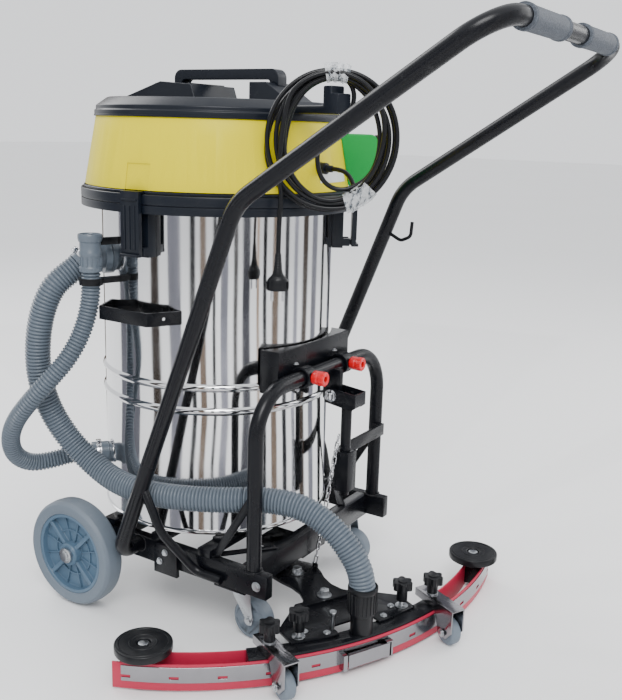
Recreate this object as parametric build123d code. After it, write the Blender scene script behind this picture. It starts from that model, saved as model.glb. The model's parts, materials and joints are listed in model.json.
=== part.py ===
from build123d import *
import os
from math import atan2, cos, degrees, hypot, pi, radians, sin, tan

# Wet-dry vacuum on a trolley, with a floor squeegee that swings and lifts behind it.
# While it is modelled, the tank's axis is x = 0, y = 0 and the floor is z = 0. +Y points to the
# big wheels, -Y to the operator, +X to the operator's right. At the end everything moves in the
# floor plane so that the origin is under the middle of the machine.

# ------------------------------------------------------------------ driving dimensions, mm
RUN = 0.05            # radial clearance of a shaft or pin in its bore
GAP = 0.3             # air between curved faces that only sit side by side

# chassis
RAIL_X = 215.0        # centre of each side rail
RAIL_WIDTH = 20.0
RAIL_BOTTOM = 106.0
RAIL_HEIGHT = 45.0
RAIL_FRONT = -283.0
RAIL_BACK = 114.0
CROSS_FRONT = -242.0  # front face of the front cross member
CROSS_DEPTH = 24.0
BEARER_WIDTH = 28.0
BEARER_HEIGHT = 14.0
BEARER_CENTRES = (-145.0, -35.0, 85.0)
CARRIER_SIDE = 30.0   # square tube that carries the wheel axle

# big wheels
WHEEL_RADIUS = 104.0
WHEEL_WIDTH = 44.0
WHEEL_OUTER_X = 294.0
HUB_RADIUS = 79.0
AXLE_RADIUS = 10.0

# swivel castors under the front corners
CASTOR_X = 180.0
CASTOR_Y = -203.0
CASTOR_TRAIL = 24.0
CASTOR_RADIUS = 37.5
CASTOR_WIDTH = 28.0
CASTOR_PIN = 4.0
CASTOR_STEM = 6.0
CASTOR_PLATE = 3.0

# tubular frame with the lift gear
FRAME_TUBE = 13.5
FRAME_WALL = 2.0
FRAME_Y = -249.0
FRAME_TOP = 470.0
FRAME_BEND = 85.0

# push handle
HANDLE_TUBE = 14.0
HANDLE_WALL = 2.0
HANDLE_X = 281.0
HANDLE_FOOT = (8.0, 136.0)        # y, z
HANDLE_ELBOW = (-252.0, 791.0)
HANDLE_END = (-657.0, 1055.0)
HANDLE_FOOT_BEND = 32.0
HANDLE_ELBOW_BEND = 100.0
HANDLE_END_BEND = 66.0
GRIP_RADIUS = 18.5
GRIP_INNER = 48.0
GRIP_OUTER = 205.0

# tank and its collar
TANK_RADIUS = 220.0
TANK_WALL = 1.5
TANK_BOTTOM = 172.0
TANK_TOP = 758.0
BEAD = 4.0
BEAD_HEIGHTS = (408.5, 452.0)
COLLAR_RADIUS = 256.5
COLLAR_HEIGHT = 14.0
FLANGE_HEIGHT = 18.0
FLANGE_STEP = 6.0
LATCH_ANGLES = (-176.0, -56.0, 64.0)
LATCH_WIDTH = 38.0

# head
COWL_BOTTOM_RADIUS = 249.0
COWL_TOP_RADIUS = 226.6
COWL_HEIGHT = 120.5
COWL_WALL = 4.0
LID_RADIUS = 229.0
LID_SIDE = 19.0
LID_CHAMFER = 15.0
LID_CHAMFER_RUN = 24.0
MOUND_TOP = 32.0      # above the lid's flat top
CARRY_TOP = 56.0      # top of the carrying handle above the lid's flat top
CARRY_SECTION = 18.0
CARRY_WIDTH = 28.0
CARRY_ENDS = (-143.0, 97.0)

# squeegee, in its own frame, pointing straight back
SWING_NOW = -26.4     # degrees the squeegee is swung at rest
SWING_PIVOT = -150.0
HINGE_Z = 76.0
ARC_CENTRE = 160.0
BLADE_OUTER = 639.8   # outer face of the blade nearer the operator
BLADE_THICK = 3.0
BLADE_GAP = 33.0      # between the two blades
BLADE_BOTTOM = 4.0
BLADE_TOP = 51.0
BLADE_HALF_ANGLE = 39.6
STRAP_THICK = 1.6
STRAP_BOTTOM = 19.0
STRAP_TOP = 47.0
STRAP_HALF_ANGLE = 38.2
SLOT_STEP = 7.1
SLOT_LENGTH = 16.0
SLOT_HEIGHT = 5.0
SLOT_Z = 28.0
BODY_HALF_ANGLE = 19.5
BODY_TOP = 56.0
BODY_WALL = 3.0
ARM_THICK = 5.0
PLATE_THICK = 4.0
DISC_X = 355.5
DISC_Y = -340.0
DISC_RADIUS = 48.5
DISC_BOTTOM = 61.0
DISC_THICK = 14.0
ROLLER_X = 172.0
ROLLER_Y = -490.0
ROLLER_RADIUS = 25.0
ROLLER_WIDTH = 22.0
KNOB_RADIUS = 19.0
KNOB_TOP = 110.0
OUTER_KNOB_Y = -437.0
INNER_KNOB_X = 109.5
INNER_KNOB_Y = -427.0
CUFF_Y = -457.0
CUFF_TOP = 143.0
CUFF_RADIUS = 26.5

# lift gear
LEVER_X = 20.0
LEVER_PIVOT = (-266.0, 422.7)     # y, z
LEVER_HALF_WIDTH = 20.0
LEVER_FRONT = -318.0
LEVER_TOP = 437.0
LEVER_BOTTOM = 400.0
ROD_Y = -290.0
ROD_RADIUS = 10.0
ROD_BOTTOM = 225.0
GUIDE_BOTTOM = 236.0
GUIDE_TOP = 314.0

# green box on the cowl, gland, hose fittings
PANEL_ANGLE = -48.0
PANEL_REACH = 296.0
PANEL_HALF = 57.0
HOLDER_Z = 632.0
BOLT_Y = (-235.0, -334.5)
CHAIN_LUG = (38.0, -240.0)
CHAIN_TOP = 352.0
LUG_HEIGHT = 14.0

# hoses and cord
SUCTION_OD = 46.0
DRAIN_OD = 34.0
CORD_OD = 8.0
COIL_CENTRE = (-85.0, -302.0, 888.0)
COIL_HALF_WIDTH = 107.0
COIL_HALF_HEIGHT = 121.0
COIL_BUNDLE = 32.0
COIL_AZIMUTH = -58.0  # direction across the coil, seen from above

# Routes of the hoses and of the cord, mm. The suction hose is two tubes that meet end to end.
SUCTION_ROUTE = [
    (-188.0, -207.5, 264.0), (-205.0, -172.0, 260.0), (-236.0, -96.0, 256.0), (-244.5, -22.0, 252.0),
    (-249.0, 42.0, 258.0), (-254.0, 98.0, 284.0), (-270.0, 140.0, 326.0), (-289.0, 168.0, 384.0),
    (-301.0, 180.0, 448.0), (-303.0, 178.0, 512.0), (-297.0, 170.0, 568.0), (-284.0, 158.0, 610.0),
    (-265.9, 147.3, 631.6), (-240.5, 133.3, 651.2),
]
SUCTION_END_ROUTE = [
    (-136.5, -425.0, 113.0), (-136.5, -425.0, 152.0), (-139.0, -407.0, 192.0), (-144.0, -366.0, 236.0),
    (-152.0, -310.0, 264.0), (-171.0, -243.0, 268.0), (-188.0, -207.5, 264.0),
]
DRAIN_ROUTE = [
    (-262.0, 79.0, 655.0), (-262.0, 79.0, 622.0), (-266.0, 82.0, 582.0), (-280.0, 89.0, 536.0),
    (-303.0, 101.0, 493.0), (-330.0, 123.0, 455.0), (-349.0, 155.0, 414.0), (-354.0, 190.0, 372.0),
    (-345.0, 216.0, 329.0), (-324.0, 229.0, 290.0), (-291.0, 225.0, 266.0), (-256.0, 206.0, 266.0),
    (-223.8, 181.2, 275.0), (-195.8, 158.5, 275.0),
]
CORD_LEAD_ROUTE = [
    (-23.4, -267.0, 838.0), (-25.1, -287.0, 838.0), (-29.0, -305.5, 828.0), (-38.0, -321.0, 810.0),
    (-54.0, -335.5, 788.0),
]
CORD_TAIL_ROUTE = [
    (-128.0, -238.0, 838.0), (-139.0, -240.0, 800.0), (-145.0, -241.0, 760.0), (-148.0, -242.0, 725.0),
    (-148.0, -242.0, 700.0),
]

# ------------------------------------------------------------------ places worked out from them
RAIL_IN, RAIL_OUT = RAIL_X - RAIL_WIDTH / 2, RAIL_X + RAIL_WIDTH / 2
RAIL_TOP = RAIL_BOTTOM + RAIL_HEIGHT
AXLE_Y = RAIL_BACK + CARRIER_SIDE / 2
AXLE_Z = WHEEL_RADIUS
COLLAR_TOP = TANK_TOP + COLLAR_HEIGHT
FLANGE_BOTTOM = COLLAR_TOP + GAP
FLANGE_TOP = FLANGE_BOTTOM + FLANGE_HEIGHT
COWL_BOTTOM = FLANGE_TOP + FLANGE_STEP
COWL_TOP = COWL_BOTTOM + COWL_HEIGHT
LID_TOP = COWL_TOP + LID_SIDE + LID_CHAMFER
BODY_OUTER = BLADE_OUTER - BLADE_THICK - GAP
BODY_INNER = BODY_OUTER - BLADE_GAP + 2 * GAP
PLATE_TOP = BODY_TOP + PLATE_THICK
ARM_TOP = PLATE_TOP + ARM_THICK
CENTRE = (Align.CENTER, Align.CENTER, Align.CENTER)
UP = (Align.CENTER, Align.CENTER, Align.MIN)

nodes = {}


def keep(name, *shapes):
    """Store a node as separate solids."""
    solids = [solid for shape in shapes for solid in shape.solids()]
    nodes[name] = Compound(children=[Solid(solid.wrapped) for solid in solids])


# ------------------------------------------------------------------ small helpers
def block(x0, x1, y0, y1, z0, z1):
    middle = Pos((x0 + x1) / 2, (y0 + y1) / 2, (z0 + z1) / 2)
    return middle * Box(abs(x1 - x0), abs(y1 - y0), abs(z1 - z0))


def drum(x, y, z0, z1, radius, bore=0.0):
    """Upright cylinder, with a bore if one is given."""
    solid = Pos(x, y, z0) * Cylinder(radius, z1 - z0, align=UP)
    if bore:
        solid -= Pos(x, y, z0) * Cylinder(bore, z1 - z0, align=UP)
    return solid


def bar(start, end, radius, bore=0.0):
    """Round bar between two points."""
    start, end = Vector(*start), Vector(*end)
    place = Plane(origin=start, z_dir=end - start)
    solid = place * Cylinder(radius, (end - start).length, align=UP)
    if bore:
        solid -= place * Cylinder(bore, (end - start).length, align=UP)
    return solid


def flat_bar(start, end, width, thick, face=(0, 0, 1)):
    """Flat bar between two points, its broad side facing the given way."""
    start, end = Vector(*start), Vector(*end)
    place = Plane(origin=start, z_dir=end - start, x_dir=Vector(*face))
    return place * Box(thick, width, (end - start).length, align=UP)


def sweep_round(points, radii, outer, wall=0.0):
    """Tube along straight runs joined by tangent arcs."""
    path = FilletPolyline(*points, radius=radii)
    section = Plane(origin=path @ 0, z_dir=path % 0) * Circle(outer)
    solid = sweep(section, path=path)
    if wall:
        bore = Plane(origin=path @ 0, z_dir=path % 0) * Circle(outer - wall)
        solid -= sweep(bore, path=path)
    return solid


def turned(profile):
    """Solid of revolution about Z of an outline given as (radius, z)."""
    face = make_face(Polyline(*[(r, 0, z) for r, z in profile], close=True))
    return revolve(face, axis=Axis.Z)


def plate(outline, z0, z1):
    """Flat plate with an outline given as (x, y)."""
    face = make_face(Polyline(*[(x, y, z0) for x, y in outline], close=True))
    return extrude(face, z1 - z0, dir=(0, 0, 1))


def side_plate(outline, x0, x1):
    """Upright plate with an outline given as (y, z)."""
    face = make_face(Polyline(*[(x0, y, z) for y, z in outline], close=True))
    return extrude(face, x1 - x0, dir=(1, 0, 0))


def both_sides(shape):
    return [shape, mirror(shape, Plane.YZ)]


def polar(radius, angle, z):
    return (radius * cos(radians(angle)), radius * sin(radians(angle)), z)


def turn_about_z(shape, angle, x=0.0, y=0.0):
    return Pos(x, y, 0) * Rot(0, 0, angle) * Pos(-x, -y, 0) * shape


def cord_tube(points, diameter):
    """Tube along a cord's route. Each arc is 0.45 of the shorter run over the tangent of half the turn."""
    spots = [Vector(*p) for p in points]
    radii = []
    for before, here, after in zip(spots, spots[1:], spots[2:]):
        a, b = here - before, after - here
        half_turn = radians(a.get_angle(b)) / 2
        radii.append(0.45 * min(a.length, b.length) / tan(half_turn))
    path = FilletPolyline(*spots, radius=radii)
    tube = sweep(Plane(origin=path @ 0, z_dir=path % 0) * Circle(diameter / 2), path=path)
    section = pi * (diameter / 2) ** 2
    print("tube", diameter, "radii", [round(r) for r in radii], "length", round(path.length))
    print("     volume over section times length", round(tube.volume / (section * path.length), 4))
    return tube


# ------------------------------------------------------------------ chassis
def chassis(stays):
    rail = block(RAIL_IN, RAIL_OUT, RAIL_FRONT, RAIL_BACK, RAIL_BOTTOM, RAIL_TOP)
    keep("chassis_rails", *both_sides(rail))
    front = block(-RAIL_IN, RAIL_IN, CROSS_FRONT, CROSS_FRONT + CROSS_DEPTH, RAIL_BOTTOM, RAIL_TOP)
    half = CARRIER_SIDE / 2
    carrier = block(-RAIL_OUT, RAIL_OUT, AXLE_Y - half, AXLE_Y + half, AXLE_Z - half, AXLE_Z + half)
    carrier -= bar((-RAIL_OUT, AXLE_Y, AXLE_Z), (RAIL_OUT, AXLE_Y, AXLE_Z), AXLE_RADIUS + RUN)
    bearers = [
        block(-RAIL_OUT, RAIL_OUT, y - BEARER_WIDTH / 2, y + BEARER_WIDTH / 2, RAIL_TOP, RAIL_TOP + BEARER_HEIGHT)
        for y in BEARER_CENTRES
    ]
    pad_bottom = RAIL_TOP + BEARER_HEIGHT
    pads = [
        block(x - 45, x + 45, y - 11, y + 11, pad_bottom, TANK_BOTTOM)
        for y in BEARER_CENTRES
        for x in (-140, 140)
    ]
    # plate under the front cross member that holds the squeegee's swing pin
    pivot = block(-40, 40, CROSS_FRONT + 2, SWING_PIVOT + 28, RAIL_BOTTOM - 6, RAIL_BOTTOM)
    pivot -= drum(0, SWING_PIVOT, RAIL_BOTTOM - 6, RAIL_BOTTOM, 8 + RUN)
    castor_plates = both_sides(
        block(CASTOR_X - 28, RAIL_OUT, CASTOR_Y - 34, CASTOR_Y + 34, RAIL_BOTTOM - CASTOR_PLATE, RAIL_BOTTOM)
        - drum(CASTOR_X, CASTOR_Y, RAIL_BOTTOM - CASTOR_PLATE, RAIL_BOTTOM, CASTOR_STEM + RUN)
    )
    gussets = both_sides(
        flat_bar((RAIL_X, CROSS_FRONT + 88, RAIL_TOP + 1.5), (RAIL_X - 95, CROSS_FRONT + 12, RAIL_TOP + 1.5), 14, 3)
        - block(RAIL_IN - 60, RAIL_OUT + 60, BEARER_CENTRES[0] - BEARER_WIDTH / 2, 0, RAIL_TOP, RAIL_TOP + 9)
    )
    leg_plates = both_sides(block(RAIL_OUT, RAIL_OUT + 8, -88, -34, RAIL_BOTTOM - 12, RAIL_TOP))
    keep("chassis_members", front, carrier, pivot, *bearers, *pads, *castor_plates, *gussets,
         *leg_plates, *stays)


def wheels():
    nut_x = WHEEL_OUTER_X + 1.0
    axle = bar((-nut_x - 10, AXLE_Y, AXLE_Z), (nut_x + 10, AXLE_Y, AXLE_Z), AXLE_RADIUS)
    inner_x = WHEEL_OUTER_X - WHEEL_WIDTH
    for side in (-1, 1):
        axle += bar((side * nut_x, AXLE_Y, AXLE_Z), (side * (nut_x + 7), AXLE_Y, AXLE_Z), 15)
        axle += bar((side * RAIL_OUT, AXLE_Y, AXLE_Z), (side * (inner_x - 1), AXLE_Y, AXLE_Z), 15)
    keep("wheel_axle", axle)
    half = WHEEL_WIDTH / 2
    shoulder = 7
    tyre = turned(
        [
            (HUB_RADIUS, -half + 2), (WHEEL_RADIUS - shoulder, -half), (WHEEL_RADIUS - 1.5, -half + shoulder),
            (WHEEL_RADIUS, 0), (WHEEL_RADIUS - 1.5, half - shoulder), (WHEEL_RADIUS - shoulder, half),
            (HUB_RADIUS, half - 2),
        ]
    )
    bore, boss, rim = AXLE_RADIUS + RUN, 22.0, HUB_RADIUS - 7
    hub = turned(
        [
            (bore, -half), (boss, -half), (boss, -6), (rim, -6), (rim, -half + 3), (HUB_RADIUS, -half + 3),
            (HUB_RADIUS, half - 3), (rim, half - 3), (rim, 6), (boss, 6), (boss, half), (bore, half),
        ]
    )
    for angle in (45, 135, 225, 315):
        rib = Rot(0, 0, angle) * block(boss - 2, rim + 2, -4, 4, -half + 6, half - 6)
        hub += rib
    for side, name in ((-1, "wheel_left"), (1, "wheel_right")):
        place = Pos(side * (WHEEL_OUTER_X - half), AXLE_Y, AXLE_Z) * Rot(0, 90, 0)
        keep(name, place * tyre, place * hub)


def castors():
    crown_top = RAIL_BOTTOM - CASTOR_PLATE - GAP
    crown = crown_top - 8
    inner = CASTOR_WIDTH / 2 + 1.5
    axle = (CASTOR_Y - CASTOR_TRAIL, CASTOR_RADIUS)
    fork = drum(0, CASTOR_Y, crown, crown_top, 18) + drum(0, CASTOR_Y, crown_top, RAIL_BOTTOM, CASTOR_STEM)
    fork += block(-inner - 2.5, inner + 2.5, CASTOR_Y - 24, CASTOR_Y + 20, crown - 3, crown)
    cheek_outline = [
        (CASTOR_Y + 20, crown), (CASTOR_Y - 24, crown), (axle[0] - 9, axle[1] + 4), (axle[0] - 6, axle[1] - 8),
        (axle[0] + 6, axle[1] - 8), (axle[0] + 9, axle[1] + 4),
    ]
    for side in (-1, 1):
        x0, x1 = sorted((side * inner, side * (inner + 2.5)))
        fork += side_plate(cheek_outline, x0, x1)
    fork += bar((-inner - 5, *axle), (inner + 5, *axle), CASTOR_PIN)
    half = CASTOR_WIDTH / 2
    tread = turned(
        [
            (CASTOR_RADIUS - 9, -half), (CASTOR_RADIUS - 3, -half), (CASTOR_RADIUS, -half + 4),
            (CASTOR_RADIUS, half - 4), (CASTOR_RADIUS - 3, half), (CASTOR_RADIUS - 9, half),
        ]
    )
    core = turned([(CASTOR_PIN + RUN, -half), (CASTOR_RADIUS - 9, -half), (CASTOR_RADIUS - 9, half), (CASTOR_PIN + RUN, half)])
    for side, name in ((-1, "left"), (1, "right")):
        keep("castor_fork_" + name, Pos(side * CASTOR_X, 0, 0) * fork)
        place = Pos(side * CASTOR_X, *axle) * Rot(0, 90, 0)
        keep("castor_wheel_" + name, place * tread, place * core)


# ------------------------------------------------------------------ tubular frames
def lift_frame():
    corners = [(-RAIL_X, FRAME_Y, RAIL_TOP), (-RAIL_X, FRAME_Y, FRAME_TOP), (RAIL_X, FRAME_Y, FRAME_TOP), (RAIL_X, FRAME_Y, RAIL_TOP)]
    keep("lift_frame", sweep_round(corners, FRAME_BEND, FRAME_TUBE, FRAME_WALL))


def handle():
    half = [
        (-RAIL_OUT, *HANDLE_FOOT), (-HANDLE_X, *HANDLE_FOOT), (-HANDLE_X, *HANDLE_ELBOW), (-HANDLE_X, *HANDLE_END)
    ]
    other = [(-x, y, z) for x, y, z in reversed(half)]
    bends = [HANDLE_FOOT_BEND, HANDLE_ELBOW_BEND, HANDLE_END_BEND]
    tube = sweep_round(half + other, bends + bends[::-1], HANDLE_TUBE, HANDLE_WALL)
    leg = Vector(0, HANDLE_ELBOW[0] - HANDLE_FOOT[0], HANDLE_ELBOW[1] - HANDLE_FOOT[1]).normalized()
    hook_z = 704.0
    hook_y = HANDLE_FOOT[0] + (hook_z - HANDLE_FOOT[1]) * leg.Y / leg.Z
    hook = sweep_round(
        [(HANDLE_X, hook_y, hook_z), (HANDLE_X, hook_y - 36, hook_z - 18), (HANDLE_X, hook_y - 58, hook_z - 8),
         (HANDLE_X, hook_y - 60, hook_z + 22)],
        [14, 12], 3.5,
    )
    hook -= bar((HANDLE_X, *HANDLE_FOOT), (HANDLE_X, *HANDLE_ELBOW), HANDLE_TUBE)
    keep("handle_bar", tube, hook)
    grips = both_sides(
        bar((-GRIP_OUTER, *HANDLE_END), (-GRIP_INNER, *HANDLE_END), GRIP_RADIUS, HANDLE_TUBE + RUN)
    )
    keep("handle_grips", *grips)
    # bent rods from the legs down to the rails, and straight flat stays up to the lift frame
    stay_top = 285.0
    stay_y = HANDLE_FOOT[0] + (stay_top - HANDLE_FOOT[1]) * leg.Y / leg.Z
    rod_x = RAIL_OUT + 8.0
    stay = sweep_round(
        [(-HANDLE_X, stay_y, stay_top), (-HANDLE_X + 6, stay_y - 38, stay_top - 84),
         (-rod_x, stay_y - 84, RAIL_BOTTOM + 16), (-rod_x, stay_y - 140, RAIL_BOTTOM + 16)],
        [70, 30], 8.0,
    )
    stay -= bar((-HANDLE_X, *HANDLE_FOOT), (-HANDLE_X, *HANDLE_ELBOW), HANDLE_TUBE)
    brace = flat_bar((-RAIL_X, -166, RAIL_TOP + 5), (-RAIL_X, FRAME_Y, RAIL_TOP + 142), 5, 14, face=(0, 1, 0))
    brace -= drum(-RAIL_X, FRAME_Y, 0, FRAME_TOP, FRAME_TUBE)
    brace -= block(-RAIL_OUT - 20, -RAIL_IN + 20, -400, 0, 0, RAIL_TOP)
    return [*both_sides(stay), *both_sides(brace)]


# ------------------------------------------------------------------ tank
def tank():
    inner = TANK_RADIUS - TANK_WALL
    outline = [(0, TANK_BOTTOM), (TANK_RADIUS, TANK_BOTTOM), (TANK_RADIUS, TANK_TOP), (inner, TANK_TOP),
               (inner, TANK_BOTTOM + 2), (0, TANK_BOTTOM + 2)]
    shell = turned(outline)
    for height in BEAD_HEIGHTS:
        ring = Pos(0, 0, height) * Torus(TANK_RADIUS - 1, BEAD + 1)
        shell += ring - drum(0, 0, height - 10, height + 10, inner + 0.5)
    shell += Pos(0, 0, TANK_BOTTOM + BEAD) * Torus(TANK_RADIUS, BEAD) - drum(0, 0, 0, 200, inner + 0.5)
    keep("tank", shell)
    collar = drum(0, 0, TANK_TOP, COLLAR_TOP, COLLAR_RADIUS, 205)
    parts = [collar]
    for angle in LATCH_ANGLES:
        base = block(TANK_RADIUS - 4, 241, -LATCH_WIDTH / 2, LATCH_WIDTH / 2, 682, TANK_TOP)
        base = base - drum(0, 0, 600, 800, TANK_RADIUS + GAP)
        for side in (-1, 1):
            ear_y = side * (LATCH_WIDTH / 2 - 3)
            base += block(239, 254, ear_y - 3, ear_y + 3, 686, 700)
        base += bar((248, -LATCH_WIDTH / 2, 693), (248, LATCH_WIDTH / 2, 693), 3)
        parts.append(Rot(0, 0, angle) * base)
    keep("tank_collar", *parts)
    for angle, name in zip(LATCH_ANGLES, ("left", "rear", "right")):
        half = LATCH_WIDTH / 2
        lever = block(COLLAR_RADIUS + 1.5, COLLAR_RADIUS + 10, -half, half, 685, FLANGE_TOP + 5)
        lever += block(COLLAR_RADIUS - 8, COLLAR_RADIUS + 3, -half, half, FLANGE_TOP + 0.8, FLANGE_TOP + 5)
        lever += block(244.8, COLLAR_RADIUS + 3, -half + 7, half - 7, 687.6, 698.4)
        lever -= bar((248, -half, 693), (248, half, 693), 3 + RUN)
        keep("latch_" + name, Rot(0, 0, angle) * lever)


def tank_fixtures():
    # flat strap bent to a tray-like loop for tools
    outer = [(-200, 94), (-262, 62), (-262, -50), (-204, -81)]
    inner = [(-200, 89.5), (-258, 59.5), (-258, -47.5), (-204, -76.4)]
    band = plate(outer + inner[::-1], 566, 590) - drum(0, 0, 500, 600, TANK_RADIUS + GAP)
    hole_mid, hole_dir = Vector(-234, -65, 578), Vector(31, 58, 0).normalized()
    band -= bar(hole_mid - hole_dir * 12, hole_mid + hole_dir * 12, 3)
    keep("tool_bracket", band)

    # elbow on the tank wall for the suction hose, and a straight stub near the floor for the drain hose
    outside = drum(0, 0, 0, TANK_TOP, TANK_RADIUS + GAP)
    end, before = Vector(*SUCTION_ROUTE[-1]), Vector(*SUCTION_ROUTE[-2])
    away = (before - end).normalized()
    angle = degrees(atan2(end.Y, end.X))
    bend = end - away * 30
    foot = Vector(*polar(TANK_RADIUS - 12, angle, bend.Z))
    outer, inner = SUCTION_OD / 2 + 1, SUCTION_OD / 2 - 4
    collar = bar(foot, foot + (bend - foot).normalized() * 22, outer + 8)
    elbow = bar(foot, bend, outer) + Pos(*bend) * Sphere(outer + 1) + bar(bend, end, outer) + collar
    elbow -= bar(foot, bend, inner) + Pos(*bend) * Sphere(inner + 1) + bar(bend, end, inner)
    elbow -= outside
    end, before = Vector(*DRAIN_ROUTE[-1]), Vector(*DRAIN_ROUTE[-2])
    away = (before - end).normalized()
    foot = end - away * 45
    stub = bar(foot, end, DRAIN_OD / 2 + 3, DRAIN_OD / 2 - 3) - outside
    keep("tank_fittings", elbow, stub)

    # closed cuff on the drain hose, and the clip that holds the hose to the tank
    x, y, cuff_low = DRAIN_ROUTE[0]
    cuff = drum(x, y, cuff_low, cuff_low + 55, DRAIN_OD / 2 + 2.5) + drum(x, y, cuff_low + 55, cuff_low + 61, 21.5)
    cuff -= drum(x, y, cuff_low, cuff_low + 50, DRAIN_OD / 2 - 2)
    keep("drain_cuff", cuff)
    angle, reach = degrees(atan2(y, x)), hypot(x, y)
    ring = drum(x, y, HOLDER_Z - 6, HOLDER_Z + 6, DRAIN_OD / 2 + 4, DRAIN_OD / 2 + 1.2)
    arm = Rot(0, 0, angle) * block(TANK_RADIUS - 9, reach - DRAIN_OD / 2 - 2.5, -7, 7, HOLDER_Z - 5, HOLDER_Z + 5)
    tie = Rot(0, 0, angle) * block(TANK_RADIUS - 9, reach - DRAIN_OD / 2 - 2.7, -4, 4, cuff_low + 40, cuff_low + 53)
    keep("hose_holder", ring + arm - outside, tie - outside)


# ------------------------------------------------------------------ head
def cone(z0, z1, r0, r1):
    return turned([(0, z0), (r0, z0), (r1, z1), (0, z1)])


def cowl_solid(grow=0.0):
    return cone(COWL_BOTTOM, COWL_TOP, COWL_BOTTOM_RADIUS + grow, COWL_TOP_RADIUS + grow)


def head():
    plate_top = FLANGE_BOTTOM + 6
    flange = drum(0, 0, FLANGE_BOTTOM, FLANGE_TOP, COLLAR_RADIUS, 205)
    flange += drum(0, 0, FLANGE_TOP, COWL_BOTTOM, COWL_BOTTOM_RADIUS - 4, 205)
    flange += drum(0, 0, FLANGE_BOTTOM, plate_top, 205)
    motor_spots = [polar(95, angle, 0) for angle in (30, 150, 270)]
    for x, y, _ in motor_spots:
        flange -= drum(x, y, FLANGE_BOTTOM, plate_top, 24)
    keep("head_flange", flange)
    keep("motors", *[drum(x, y, plate_top, COWL_TOP - 8, 66, 18) for x, y, _ in motor_spots])
    basket = drum(0, 0, FLANGE_BOTTOM - 172, FLANGE_BOTTOM, 150, 120)
    keep("filter_basket", basket, Pos(0, 0, FLANGE_BOTTOM - 90) * Sphere(40))
    cowl = cowl_solid() - cowl_solid(-COWL_WALL)
    recess = Rot(0, 0, LATCH_ANGLES[0]) * block(200, 300, -24, 24, COWL_BOTTOM, COWL_BOTTOM + 44)
    cowl -= (cowl_solid() - cowl_solid(-2)) & recess
    keep("cowl", cowl)

    rim_z = COWL_TOP + LID_SIDE
    inner = LID_RADIUS - LID_CHAMFER_RUN
    profile = [(0, LID_TOP), (inner, LID_TOP), (LID_RADIUS - 3, rim_z), (LID_RADIUS - 3, rim_z - 7),
               (LID_RADIUS, rim_z - 8), (LID_RADIUS, COWL_TOP), (LID_RADIUS - 6, COWL_TOP),
               (LID_RADIUS - 8, rim_z - 3), (inner - 3, LID_TOP - 5), (0, LID_TOP - 5)]
    lid = turned(profile)
    top = LID_TOP + MOUND_TOP
    mound = side_plate([(205, LID_TOP - 6), (88, top), (14, top - 5), (4, LID_TOP - 1), (4, LID_TOP - 6)], -66, 66)
    block_mound = side_plate([(-98, LID_TOP - 4), (-98, top), (-134, top), (-190, LID_TOP - 4)], -40, 40)
    cap = cone(LID_TOP - 4, top + 1, inner, inner - 40)
    lid += (mound + block_mound) & cap
    keep("lid", lid)

    y0, y1 = CARRY_ENDS
    top = LID_TOP + CARRY_TOP
    outer = side_plate([(y0, LID_TOP), (y0, top), (y1, top), (y1, LID_TOP)], -CARRY_WIDTH / 2, CARRY_WIDTH / 2)
    edges = outer.edges().filter_by(Axis.X).group_by(Axis.Z)[-1]
    outer = fillet(edges, 16)
    window = side_plate(
        [(y0 + CARRY_SECTION, LID_TOP), (y0 + CARRY_SECTION, top - CARRY_SECTION),
         (y1 - CARRY_SECTION, top - CARRY_SECTION), (y1 - CARRY_SECTION, LID_TOP)],
        -CARRY_WIDTH, CARRY_WIDTH,
    )
    window = fillet(window.edges().filter_by(Axis.X).group_by(Axis.Z)[-1], 8)
    keep("carrying_handle", outer - window - lid)

    # green box on the cowl, with a catch at its outer edge
    z0, z1 = COWL_BOTTOM + 4, COWL_BOTTOM + 101
    box = block(COWL_TOP_RADIUS - 8, PANEL_REACH, -PANEL_HALF, PANEL_HALF, z0, z1)
    box = fillet(box.edges().filter_by(Axis.Y).group_by(Axis.X)[-1], 14) - cowl_solid(GAP)
    catch = block(PANEL_REACH, PANEL_REACH + 6, -PANEL_HALF, -PANEL_HALF + 20, z1 - 42, z1 - 2)
    keep("side_panel", Rot(0, 0, PANEL_ANGLE) * box, Rot(0, 0, PANEL_ANGLE) * catch)


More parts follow.
